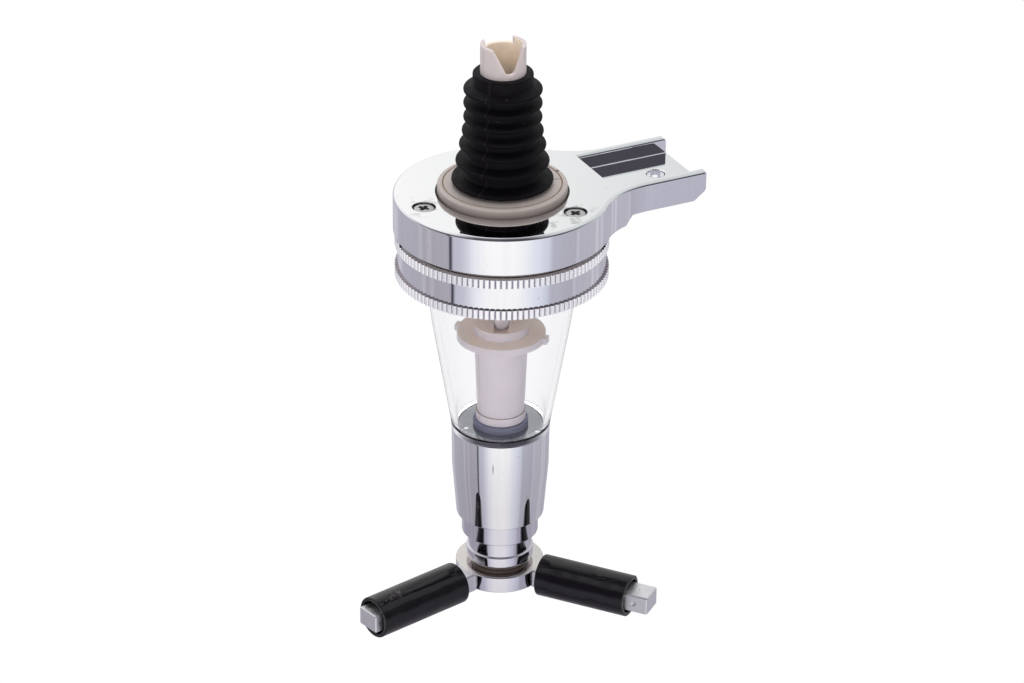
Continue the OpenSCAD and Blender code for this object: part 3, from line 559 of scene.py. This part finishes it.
# Zinc-plated steel: greyer and rougher than the chrome, with a fine tumbled grain.
zinc_steel = mottled("zinc_plated_steel", 0.5 * mm, ("#b9b7b8", "#dcdadb"), {"Metallic": 1}, sheen=(0.22, 0.4),
                     grain=(0.5 * mm, 4, 0.15, 0.03 * mm))
piece("cross_screws", screws, [zinc_steel], "head", "screw_steel", "head_screws")


# Measuring chamber: one clear moulding. Its cone holds one measure, its flange is clamped under the valve
# body, and its neck goes into the outlet collar.
chamber_low, chamber_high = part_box("measuring_chamber")
flange_r = chamber_high.x
z_flange_top = chamber_high.z
z_flange_low = z_flange_top - 2.5 * mm
z_neck = chamber_low.z
z_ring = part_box("clamp_ring")[0].z
z_collar_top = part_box("outlet_collar")[1].z
chamber_wall = 1.7 * mm
chamber_top_r = 20.25 * mm
waist_r = 18.2 * mm
z_waist = z_ring - 14.8 * mm
foot_r = 13.2 * mm
foot_h = 1.5 * mm
foot_taper = 0.12 * mm
z_floor = z_collar_top + 1 * mm
neck_r = 10 * mm
outlet_r = 5 * mm

chamber = turned([(chamber_top_r - chamber_wall, z_flange_top), (flange_r, z_flange_top), (flange_r, z_flange_low),
                  (chamber_top_r, z_flange_low), (chamber_top_r, z_ring), (waist_r, z_waist),
                  (foot_r, z_collar_top + foot_h), (foot_r - foot_taper, z_collar_top), (neck_r, z_collar_top),
                  (neck_r, z_neck), (outlet_r, z_neck), (outlet_r, z_floor), (foot_r - chamber_wall, z_floor),
                  (waist_r - chamber_wall, z_waist), (chamber_top_r - chamber_wall, z_ring)])
soften(chamber, 0.3 * mm, 3)

# Clear styrene-acrylonitrile: glassy and faintly rippled. Its index is set low, so that the walls stay clear, and
# it casts next to no shadow.
clear_san, place = new_finish("clear_SAN")
relief = uneven(clear_san, place, 12 * mm, 1, 0.02, 0.3 * mm)
shader = add(clear_san, "BsdfPrincipled", {"Base Color": "#fefeff", "Roughness": 0.015, "IOR": 1.25,
                                           "Transmission Weight": 1, "Normal": relief})
through = add(clear_san, "BsdfTransparent", {"Color": "#fbfafc"})
shadow = add(clear_san, "LightPath").outputs["Is Shadow Ray"]
mixed = add(clear_san, "MixShader", {0: shadow, 1: shader, 2: through})
add(clear_san, "OutputMaterial", {"Surface": mixed})

# The floor's upper face: a dull grey mirror that stands in for the plated collar seen through it, cloudy with
# what the drink leaves, with two painted highlights.
glint_spots = [(-0.75 * mm, -9.7 * mm, z_floor), (8.9 * mm, 6.0 * mm, z_floor)]
matt_floor, place = new_finish("matt_SAN")
haze = add(matt_floor, "TexNoise", {"Vector": place, "Scale": 1 / (5 * mm), "Detail": 4})
tint = add(matt_floor, "Mix", {0: haze, 6: "#868a8c", 7: "#a3a5a8"}, data_type="RGBA")
nearest = from_spots(matt_floor, place, glint_spots)
painted_glint = add(matt_floor, "MapRange", {0: nearest, 1: 0.4 * mm, 2: 0.7 * mm, 3: 1, 4: 0})
dotted = add(matt_floor, "Mix", {0: painted_glint, 6: tint, 7: "#f4f4f5"}, data_type="RGBA")
shader = add(matt_floor, "BsdfPrincipled", {"Base Color": dotted, "Metallic": 0.9, "Roughness": 0.12})
add(matt_floor, "OutputMaterial", {"Surface": shader})


def paint(node, stops):
    """Sets a colour ramp's stops, given as (position, colour) from left to right."""
    ramp = node.color_ramp.elements
    while len(ramp) < len(stops):
        ramp.new(0.5)
    for stop, (position, colour) in zip(ramp, stops):
        stop.position = position
    for stop, (position, colour) in zip(ramp, stops):
        stop.color = linear(colour)


# The solid foot of the cone works as a prism: it throws back what is above it, bright at the sides and dark in
# front. It is drawn as a mirror with its normals tipped up, and the dark lines at its top and bottom are painted.
prism_foot, place = new_finish("clear_SAN_foot")
rise = add(prism_foot, "SeparateXYZ", {0: place}).outputs[2]
level = add(prism_foot, "MapRange", {0: rise, 1: z_collar_top, 2: z_collar_top + foot_h})
painted_line_bands = add(prism_foot, "ValToRGB", {0: level})
paint(painted_line_bands, ((0.04, "#6d6678"), (0.14, "#f3f2f6"), (0.84, "#f8f7fb"), (0.95, "#544c62")))
tipped = add(prism_foot, "VectorMath", {0: add(prism_foot, "NewGeometry").outputs["Normal"], 1: (0, 0, 0.75)},
             operation="ADD")
bent = add(prism_foot, "VectorMath", {0: tipped}, operation="NORMALIZE")
shader = add(prism_foot, "BsdfPrincipled", {"Base Color": painted_line_bands, "Metallic": 1, "Roughness": 0.08, "Normal": bent})
add(prism_foot, "OutputMaterial", {"Surface": shader})
coat(chamber, 1, lambda p, n: abs(p.z - z_floor) < 0.05 * mm and n.z > 0.9)
coat(chamber, 2, lambda p, n: z_collar_top < p.z < z_collar_top + foot_h and p.xy.length > foot_r - 0.5 * mm)
piece("clear_chamber", chamber, [clear_san, matt_floor, prism_foot], "chamber", "clear_plastic", "measuring_chamber")


# Outlet seal: a grey rubber ring on the chamber's floor that the foot ring closes on.
seal_low, seal_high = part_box("outlet_seal")
seal_bore_r = 3.55 * mm
seal = plain_tube(seal_bore_r, seal_high.x, seal_low.z, seal_high.z)
soften(seal, 0.4 * mm, 3, lambda p: p.z > seal_low.z + 0.5 * mm)
piece("floor_seal", seal, [grey_nitrile], "chamber", "seal_rubber", "outlet_seal")


# Valve rod, spool and foot ring: ivory mouldings on one rod, which lift together with the spout.
# The spool is a tapered tube with a baffle, two guide tabs and a slotted boss.
spool_low, spool_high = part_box("valve_spool")
rod_bore_r = 2.13 * mm
spool_low_r = 6.3 * mm
spool_high_r = 7.1 * mm
z_baffle_low = spool_low.z + 21.6 * mm
z_baffle_top = z_baffle_low + 1.8 * mm
baffle_r = 11.75 * mm
tab_reach = 1 * mm
tab_root = 2 * mm
tab_w = 2.4 * mm
tab_angle = 45
spool_boss_r = 7.4 * mm
slot_w = 3.8 * mm
slot_depth = 1.2 * mm
slot_end = spool_boss_r - 1.1 * mm
slot_angle = -27

spool = turned([(rod_bore_r, spool_low.z), (spool_low_r, spool_low.z), (spool_high_r, z_baffle_low),
                (baffle_r, z_baffle_low), (baffle_r, z_baffle_top), (spool_boss_r, z_baffle_top),
                (spool_boss_r, spool_high.z), (rod_bore_r, spool_high.z)])
tabs = [block(tab_root + tab_reach, tab_w, z_baffle_low + 0.05 * mm, z_baffle_top - 0.05 * mm, baffle_r - tab_root, a)
        for a in (tab_angle, tab_angle + 180)]
spool = combine(spool, "UNION", *tabs)
spool = combine(spool, "DIFFERENCE", block(2 * slot_end, slot_w, spool_high.z - slot_depth, spool_high.z + mm,
                                           -slot_end, slot_angle))
soften(spool, 0.3 * mm, 3, lambda p: p.xy.length > rod_bore_r + 0.1 * mm)
coat(spool, 1, lambda p, n: n.z > 0.8 or p.z > spool_high.z - slot_depth and p.xy.length < slot_end + 0.1 * mm)

# The spool's level faces and its slot: the same acetal with painted light, paler and more translucent.
lit_ivory = mottled("ivory_acetal_painted_light", 3 * mm, ("#fde0d1", "#ffebdf"),
                         {"Roughness": 0.4, "IOR": 1.48, "Subsurface Weight": 0.5, "Subsurface Radius": (1, 0.9, 0.8),
                          "Subsurface Scale": 4 * mm})
piece("baffle_spool", spool, [ivory_acetal, lit_ivory], "plunger", "ivory_plastic", "valve_spool")
dress(ivory_acetal, "valve_rod", "disc_backing")

foot_low, foot_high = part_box("foot_ring")
foot_ring = plain_tube(rod_bore_r, foot_high.x, foot_low.z, foot_high.z)
soften(foot_ring, 0.3 * mm, 4, lambda p: p.xy.length > rod_bore_r + 0.1 * mm)
coat(foot_ring, 1, lambda p, n: n.z > 0.6)
piece("foot_ring_moulding", foot_ring, [ivory_acetal, groove_grime], "plunger", "white_plastic", "foot_ring")


# Outlet collar: a turned and plated brass cup under the chamber. It holds the chamber's neck above, and
# the spout slides in its lower bore.
collar_low, collar_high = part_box("outlet_collar")
collar_top_r = collar_high.x
collar_low_r = 11.7 * mm
z_collar_bend = z_collar_top - 11.1 * mm
z_collar_edge = z_collar_top - 26.1 * mm
z_step = collar_low.z
step_r = 10.25 * mm
guide_r = 8.57 * mm
cup_r = 10.03 * mm
z_ledge = z_neck - 0.8 * mm
face_gap = 0.02 * mm

collar = turned([(cup_r, z_collar_top - face_gap), (collar_top_r, z_collar_top - face_gap),
                 (collar_top_r - foot_taper, z_collar_bend), (collar_low_r, z_collar_edge), (step_r, z_collar_edge),
                 (step_r, z_step), (guide_r, z_step), (guide_r, z_ledge), (cup_r, z_ledge)])
soften(collar, 0.35 * mm, 3, lambda p: p.xy.length > guide_r + 0.1 * mm)

# Nickel plate with painted shade: greyer than the chrome, and softer. It starts at the collar's step.
shaded_plate = mottled("nickel_plate_painted_shade", 3 * mm, ("#dbd8e0", "#e9e6ee"), {"Metallic": 1}, detail=5, breakup=0.6,
                       sheen=(0.03, 0.1), spread=(0.35, 0.7))
coat(collar, 1, lambda p, n: p.z < z_collar_edge + 0.1 * mm)
piece("turned_collar", collar, [chrome, shaded_plate], "chamber", "chrome", "outlet_collar")
dress(zinc_steel, "spring_washer", "lever_clip", "rod_cap")


# Return spring: hard-drawn wire between the spring washer and the spout's top, hidden in the collar.
# It is built at rest; in use it closes up as the spout is lifted.
spring_low, spring_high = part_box("return_spring")
wire_r = 0.45 * mm
coils = 5
coil_steps = 40
spring_r = spring_high.x - wire_r
spring_rise = spring_high.z - spring_low.z - 2 * wire_r

spring = bmesh.new()
bmesh.ops.create_circle(spring, cap_ends=True, segments=10, radius=wire_r,
                        matrix=Matrix.Translation((spring_r, 0, spring_low.z + wire_r))
                        @ Matrix.Rotation(radians(90), 4, "X"))
bmesh.ops.spin(spring, geom=spring.verts[:] + spring.edges[:] + spring.faces[:], cent=(0, 0, 0), axis=(0, 0, 1),
               dvec=(0, 0, spring_rise / (coils * coil_steps)), angle=2 * pi * coils, steps=coils * coil_steps)
bmesh.ops.recalc_face_normals(spring, faces=spring.faces)

# Spring steel: drawn wire, bright, with darker flecks.
spring_wire = mottled("drawn_spring_steel", 0.8 * mm, ("#8d8d92", "#b4b4b8"), {"Metallic": 1, "Roughness": 0.3})
coil = piece("coil_spring", spring, [spring_wire], "chamber", "spring_steel", "return_spring")
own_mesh(coil)


# Spout: a turned and plated tube that slides in the collar. Its flange shows under the collar, and the lever
# ring turns on its journal. A brass spider inside it holds the valve rod.
spout_low, spout_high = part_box("spout")
spout_r = 8.52 * mm
spout_flange_r = spout_high.x
z_spout_flange = spout_high.z - 17.7 * mm
z_shoulder = z_spout_flange - 3 * mm
journal_r = 6.5 * mm
pour_r = 4.5 * mm
z_spider = spout_high.z - 4 * mm

spout = turned([(journal_r, spout_high.z), (spout_r, spout_high.z), (spout_r, z_spout_flange),
                (spout_flange_r, z_spout_flange), (spout_flange_r, z_shoulder), (journal_r, z_shoulder),
                (journal_r, spout_low.z), (pour_r, spout_low.z), (pour_r, z_spider), (journal_r, z_spider)])
soften(spout, 0.3 * mm, 3, lambda p: p.z < z_spout_flange + 0.5 * mm)
piece("turned_spout", spout, [shaded_plate], "plunger", "chrome", "spout")

# Brass, turned: warm and finely mottled.
brass = mottled("turned_brass", 0.7 * mm, ("#b08f4c", "#cfb06c"), {"Metallic": 1, "Roughness": 0.32})
dress(brass, "rod_spider")


# Thrust washer: a dark brown nylon washer between the spout's flange and the lever ring, greased.
washer_low, washer_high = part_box("thrust_washer")
journal_gap = 0.05 * mm
washer = plain_tube(journal_r + journal_gap, washer_high.x, washer_low.z, washer_high.z)
soften(washer, 0.15 * mm, 2, lambda p: p.xy.length > journal_r + 0.5 * mm)

# Greased nylon: dull brown, with a wet gloss.
brown_nylon = mottled("greased_nylon", 2 * mm, ("#5f544e", "#7a6d66"), {"Roughness": 0.22, "IOR": 1.53})
piece("nylon_washer", washer, [brown_nylon], "plunger", "black_plastic", "thrust_washer")


# Lever ring: a die casting that turns on the spout's journal, with two flat bars that a glass is pushed up
# against. The ring is plated, the bars are left as cast, and punch marks hold the sleeves on.
lever_low, lever_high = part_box("lever_ring")
lever_r = 11.85 * mm
lever_t = 4.6 * mm
z_lever_top = lever_high.z
z_lever_low = z_lever_top - lever_t
z_bar = (lever_low.z + lever_high.z) / 2
bar_w = 6.9 * mm
bar_h = lever_high.z - lever_low.z
bar_angles = (283.3, 38.7)
bar_reaches = (45.5 * mm, 44.9 * mm)
punch_inset = 4 * mm
punch_r = 1.3 * mm
punch_depth = 0.22 * mm

lever = plain_tube(journal_r + journal_gap, lever_r, z_lever_low, z_lever_top)
soften(lever, 0.3 * mm, 3, lambda p: p.xy.length > lever_r - mm)
bars = [block(reach - lever_r + mm, bar_w, lever_low.z, z_lever_top - 0.03 * mm, lever_r - mm, angle)
        for angle, reach in zip(bar_angles, bar_reaches)]
for bar in bars:
    soften(bar, 0.5 * mm, 3)
lever = combine(lever, "UNION", *bars)
marks = []
punch_lift = punch_r - punch_depth
for angle, reach, side in zip(bar_angles, bar_reaches, (1, -1)):
    for across, up in ((0, bar_h / 2 + punch_lift), (side * (bar_w / 2 + punch_lift), 0)):
        mark = bmesh.new()
        bmesh.ops.create_uvsphere(mark, u_segments=24, v_segments=16, radius=punch_r)
        bmesh.ops.translate(mark, vec=(reach - punch_inset, across, z_bar + up), verts=mark.verts)
        swing(mark, (angle, "Z"))
        marks.append(mark)
lever = combine(lever, "DIFFERENCE", *marks)
coat(lever, 1, lambda p, n: n.z > 0.7)
coat(lever, 2, lambda p, n: p.xy.length > lever_r + 0.2 * mm)

# Plated die casting: on the ring's top a warm mirror with a fine speckle, and on the bars as cast, brighter
# and blotchy, with a pebbly grain.
satin_casting = mottled("speckled_plate", 6 * mm, ("#d2cdc9", "#e0dcd9"), {"Metallic": 1}, detail=3,
                        sheen=(0.06, 0.12), grain=(0.7 * mm, 4, 0.06, 0.05 * mm))
raw_casting = mottled("as_cast_zinc", 1.8 * mm, ("#e6e5e8", "#f8f7f9"), {"Metallic": 1}, sheen=(0.38, 0.58),
                      grain=(0.7 * mm, 4, 0.18, 0.05 * mm))
piece("lever_casting", lever, [shaded_plate, satin_casting, raw_casting], "lever", "lever_metal", "lever_ring")


# Sleeves: two lengths of black plastic tube, cut to length and loose on the bars, that roll under the glass.
# The right one is torn back at its free end and leaves a tongue on top.
sleeve_r = 5.65 * mm
sleeve_bore_r = 4.6 * mm
sleeve_spans = {"left_sleeve": (bar_angles[0], 15.2 * mm, 28.3 * mm),
                "right_sleeve": (bar_angles[1], 12.7 * mm, 26.2 * mm)}
tear_depth = 0.4 * mm
tear_tip = 165
tear_half = 20
tear_fade = 14
rub_out = 36.5 * mm

# PVC tube: black and half gloss, with shallow dents, and rubbed grey in one patch on the left sleeve.
black_pvc, place = new_finish("black_PVC")
scuff = add(black_pvc, "TexNoise", {"Vector": place, "Scale": 1 / (2.2 * mm), "Detail": 5, "Roughness": 0.65})
tint = add(black_pvc, "Mix", {0: scuff, 6: "#0b090c", 7: "#131015"}, data_type="RGBA")
rub_angle = radians(bar_angles[0])
rub_at = (rub_out * cos(rub_angle), rub_out * sin(rub_angle), z_bar + sleeve_r)
rub_reach = from_spots(black_pvc, place, [rub_at])
rub_zone = add(black_pvc, "MapRange", {0: rub_reach, 1: 1.6 * mm, 2: 3.4 * mm, 3: 1, 4: 0})
nicks = add(black_pvc, "TexNoise", {"Vector": place, "Scale": 1 / (0.8 * mm), "Detail": 2})
nick = add(black_pvc, "MapRange", {0: nicks, 1: 0.56, 2: 0.62})
rub = add(black_pvc, "Math", {0: rub_zone, 1: nick}, operation="MULTIPLY")
rubbed = add(black_pvc, "Mix", {0: rub, 6: tint, 7: "#4a4245"}, data_type="RGBA")
sheen = add(black_pvc, "MapRange", {0: scuff, 1: 0.35, 2: 0.7, 3: 0.1, 4: 0.18})
relief = uneven(black_pvc, place, 7 * mm, 1, 0.5, 0.8 * mm)
shader = add(black_pvc, "BsdfPrincipled", {"Base Color": rubbed, "Roughness": sheen, "IOR": 1.52,
                                           "Specular IOR Level": 0.38, "Normal": relief})
add(black_pvc, "OutputMaterial", {"Surface": shader})

for node, (angle, start, length) in sleeve_spans.items():
    sleeve = plain_tube(sleeve_bore_r, sleeve_r, start, start + length, 96)
    soften(sleeve, 0.2 * mm, 2)
    for vert in sleeve.verts:
        if node == "right_sleeve" and vert.co.z > start + length - mm:
            tip = Vector((cos(radians(tear_tip)), sin(radians(tear_tip))))
            from_tip = degrees(tip.angle(vert.co.xy))
            torn = min(1, max(0, (from_tip - tear_half) / tear_fade))
            vert.co.z -= tear_depth * torn * (1 - 0.2 * sin(radians(3 * from_tip)))
    swing(sleeve, (angle, "Z"), (90, "Y"))
    bmesh.ops.translate(sleeve, vec=(0, 0, z_bar), verts=sleeve.verts)
    piece(node.replace("sleeve", "tube"), sleeve, [black_pvc], node.replace("sleeve", "roller"), "sleeve_plastic",
          node)


# Clamp ring: a turned, knurled and plated nut that screws on the valve body's spigot and carries the chamber
# by its flange. Two bands of straight teeth stand above and below a plain band.
ring_low, ring_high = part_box("clamp_ring")
ring_r = ring_high.x
knurl_depth = 0.45 * mm
band_r = ring_r - 0.7 * mm
ring_bore_r = 24.55 * mm
lip_r = 20.65 * mm
z_lip = ring_low.z + 2 * mm
z_top_band = z_rim - 2.65 * mm
z_low_band = ring_low.z + 2.5 * mm
teeth = 120
tooth_shape = (1, 0.6, 0, 0, 0, 0, 0, 0.6)

columns = len(tooth_shape)
ring = turned([(ring_bore_r, ring_high.z), (ring_r, ring_high.z), (ring_r, z_top_band), (band_r, z_top_band),
               (band_r, z_low_band), (ring_r, z_low_band), (ring_r, ring_low.z), (lip_r, ring_low.z),
               (lip_r, z_lip), (ring_bore_r, z_lip)], teeth * columns)
for vert in ring.verts:
    if vert.co.xy.length > ring_r - 0.05 * mm:
        column = round(Vector((1, 0)).angle_signed(vert.co.xy) / (2 * pi) * teeth * columns)
        vert.co.xy *= 1 - knurl_depth * tooth_shape[column % columns] / ring_r

# The knurl is tumbled, so its tips are bright but soft. Painted shade darkens the ledges, and the grooves less.
tumbled_plate = mottled("tumbled_plate", 2 * mm, ("#f6f5f9", "#ffffff"), {"Metallic": 0.55, "Roughness": 0.3})

knurl_shade, place = new_finish("knurl_shade")
patchiness = add(knurl_shade, "TexNoise", {"Vector": place, "Scale": 1 / (1.2 * mm), "Detail": 4})
shaded_ledge = add(knurl_shade, "Mix", {0: patchiness, 6: "#857b83", 7: "#a0969e"}, data_type="RGBA")
facing = add(knurl_shade, "SeparateXYZ", {0: add(knurl_shade, "NewGeometry").outputs["Normal"]}).outputs[2]
slope = add(knurl_shade, "Math", {0: facing}, operation="ABSOLUTE")
groove = add(knurl_shade, "MapRange", {0: slope, 1: 0.2, 2: 0.5, 3: 1, 4: 0})
tint = add(knurl_shade, "Mix", {0: groove, 6: shaded_ledge, 7: "#b4aebb"}, data_type="RGBA")
shader = add(knurl_shade, "BsdfPrincipled", {"Base Color": tint, "Metallic": 0.6, "Roughness": 0.3})
add(knurl_shade, "OutputMaterial", {"Surface": shader})
# The ledges and groove faces take the painted shade, and the tips take the tumbled plate.
for face in ring.faces:
    nearest = min(vert.co.xy.length for vert in face.verts)
    if nearest > ring_bore_r + mm and (abs(face.normal.z) > 0.5 or band_r + 0.1 * mm < nearest < ring_r - 0.4 * mm):
        face.material_index = 1
    elif nearest > band_r + 0.1 * mm:
        face.material_index = 2
piece("knurled_ring", ring, [chrome, knurl_shade, tumbled_plate], "ring", "chrome", "clamp_ring", sharp_angle=25)


# Studio: a pale floor under the hanging measure, a wide lamp above and behind it, and a fill in front.
# The cards round it are painted on the world by direction, as the plating mirrors them.
floor_drop = 80 * mm

floor_mesh = bmesh.new()
bmesh.ops.create_grid(floor_mesh, x_segments=1, y_segments=1, size=6)
bmesh.ops.translate(floor_mesh, vec=(0, 0, cad_box[0][2] - floor_drop), verts=floor_mesh.verts)
floor = placed("floor", floor_mesh)
floor.visible_glossy = False
floor.visible_transmission = False

pale_floor = new_finish("pale_floor")[0]
light_path = add(pale_floor, "LightPath").outputs["Is Camera Ray"]
lit = add(pale_floor, "BsdfDiffuse", {"Color": "#f4f4f4"})
white = add(pale_floor, "Emission", {"Color": "#ffffff", "Strength": 1})
share = add(pale_floor, "Math", {0: light_path, 1: 0.85}, operation="MULTIPLY")
mixed = add(pale_floor, "MixShader", {0: share, 1: lit, 2: white})
add(pale_floor, "OutputMaterial", {"Surface": mixed})
floor.data.materials.append(pale_floor)

photo_azimuth = 63.3
photo_elevation = 25.59
lamp_aim = Vector((0, 0, -40 * mm))
toward_camera = Vector((sin(radians(photo_azimuth)), -cos(radians(photo_azimuth)), 0))
camera_right = Vector((cos(radians(photo_azimuth)), sin(radians(photo_azimuth)), 0))


def lamp(name, at, size, power):
    """A square soft lamp that is aimed at the middle of the measure."""
    data = bpy.data.lights.new(name, "AREA")
    data.size, data.energy = size, power
    made = bpy.data.objects.new(name, data)
    made.location = at
    made.rotation_euler = (lamp_aim - at).to_track_quat("-Z", "Y").to_euler()
    made.visible_glossy = False
    bpy.context.collection.objects.link(made)


lamp("top_lamp", Vector((0, 0, 0.9)) - 0.5 * toward_camera, 0.9, 7)
lamp("front_fill", 1.1 * toward_camera - 0.15 * camera_right + Vector((0, 0, 0.1)), 0.9, 4)

world = bpy.data.worlds.new("studio")
world.use_nodes = True
world.node_tree.nodes.clear()
bpy.context.scene.world = world
heading = add(world, "TexCoord").outputs["Generated"]
front = add(world, "VectorMath", {0: heading, 1: toward_camera}, operation="DOT_PRODUCT")
side = add(world, "VectorMath", {0: heading, 1: camera_right}, operation="DOT_PRODUCT")
height = add(world, "SeparateXYZ", {0: heading}).outputs[2]
turn = add(world, "Math", {0: side, 1: front}, operation="ARCTAN2")
round_turn = add(world, "MapRange", {0: turn, 1: -pi, 2: pi})
cards = add(world, "ValToRGB", {0: round_turn})
card_colours = ((-180, "#b9b7c2"), (-150, "#cac8d2"), (-138, "#b2b0bc"), (-100, "#b0aeb8"), (-95, "#bcbac4"),
                (-90, "#a9a6b0"), (-82, "#bab7c1"), (-78, "#aba8b2"), (-57.8, "#aeabb6"), (-56.8, "#45434f"),
                (-54.3, "#4a4855"), (-52.8, "#bdbdca"), (-42, "#c8c8d5"), (-28, "#eff0f7"), (-16, "#ffffff"),
                (16, "#ffffff"), (36, "#e5e8f3"), (50, "#d2d5e2"), (56, "#b9b8c5"), (84, "#b1afbb"),
                (87, "#c6c4cf"), (90, "#b9b7c3"), (116, "#b8b7c1"), (120, "#d2d0d9"), (124, "#b8b6c2"),
                (132, "#c9c7d0"), (136, "#b6b4bf"), (180, "#b9b7c2"))
paint(cards, [(degree / 360 + 0.5, colour) for degree, colour in card_colours])
low = add(world, "MapRange", {0: height, 1: -0.43, 2: -0.62})
shaded = add(world, "Mix", {0: low, 6: cards, 7: "#e7e5e5"}, data_type="RGBA", blend_type="MULTIPLY")
room = add(world, "MapRange", {0: front, 1: -1, 2: 1})
off_side = add(world, "Math", {0: side}, operation="ABSOLUTE")
beside = add(world, "MapRange", {0: off_side, 1: 0.3, 2: 0.55})
steep = add(world, "MapRange", {0: height, 1: 0.5, 2: 0.65, 3: 0, 4: 0.3})
window = add(world, "Math", {0: beside, 1: steep}, operation="MULTIPLY")
across = add(world, "Math", {0: room, 1: window}, operation="SUBTRACT")
ceiling = add(world, "ValToRGB", {0: across})
paint(ceiling, ((0.1, "#fdfdfd"), (0.3, "#eff0f1"), (0.5, "#a3a2a8"), (0.72, "#55525b")))
sweep = add(world, "MapRange", {0: side, 1: -0.03, 2: 0.05})
overhead = add(world, "Mix", {0: sweep, 6: ceiling, 7: "#dfe2e2"}, data_type="RGBA", blend_type="MULTIPLY")
rise = add(world, "MapRange", {0: height, 1: -0.12, 2: 0.12})
mirrored = add(world, "Mix", {0: rise, 6: shaded, 7: overhead}, data_type="RGBA")
path = add(world, "LightPath")
# Through the clear chamber the world is white ahead and grey-violet off to the side: painted shade on its edges.
edges = add(world, "MapRange", {0: front, 1: -0.7, 2: -0.3})
behind = add(world, "Mix", {0: edges, 6: "#ffffff", 7: "#a19eae"}, data_type="RGBA")
seen = add(world, "Math", {0: path.outputs["Diffuse Depth"], 1: 0.5}, operation="LESS_THAN")
through = add(world, "Math", {0: path.outputs["Is Transmission Ray"], 1: seen}, operation="MULTIPLY")
lit = add(world, "Mix", {0: path.outputs["Is Camera Ray"], 6: "#e2e2e4", 7: "#ffffff"}, data_type="RGBA")
plain = add(world, "Mix", {0: through, 6: lit, 7: behind}, data_type="RGBA")
not_through = add(world, "Math", {0: 1, 1: path.outputs["Is Transmission Ray"]}, operation="SUBTRACT")
mirror_ray = add(world, "Math", {0: path.outputs["Is Glossy Ray"], 1: not_through}, operation="MULTIPLY")
shown = add(world, "Mix", {0: mirror_ray, 6: plain, 7: mirrored}, data_type="RGBA")
sky = add(world, "Background", {"Color": shown, "Strength": 1})
add(world, "OutputWorld", {"Surface": sky})


# Camera: a long lens, above and to one side of the bracket arm, as the picture was taken.
distance = 1.0
camera_roll = 0.508
aim = Vector((1.28, 2.54, -44.0)) * mm
lens = bpy.data.cameras.new("camera")
lens.lens = 136.2
lens.sensor_width = 36
camera = bpy.data.objects.new("camera", lens)
level = cos(radians(photo_elevation))
camera.location = distance * (level * toward_camera + Vector((0, 0, sin(radians(photo_elevation)))))
aiming = (aim - camera.location).to_track_quat("-Z", "Y")
camera.rotation_euler = (aiming.to_matrix() @ Matrix.Rotation(radians(camera_roll), 3, "Z")).to_euler()
bpy.context.collection.objects.link(camera)
bpy.context.scene.camera = camera
bpy.context.scene.view_settings.view_transform = "Standard"
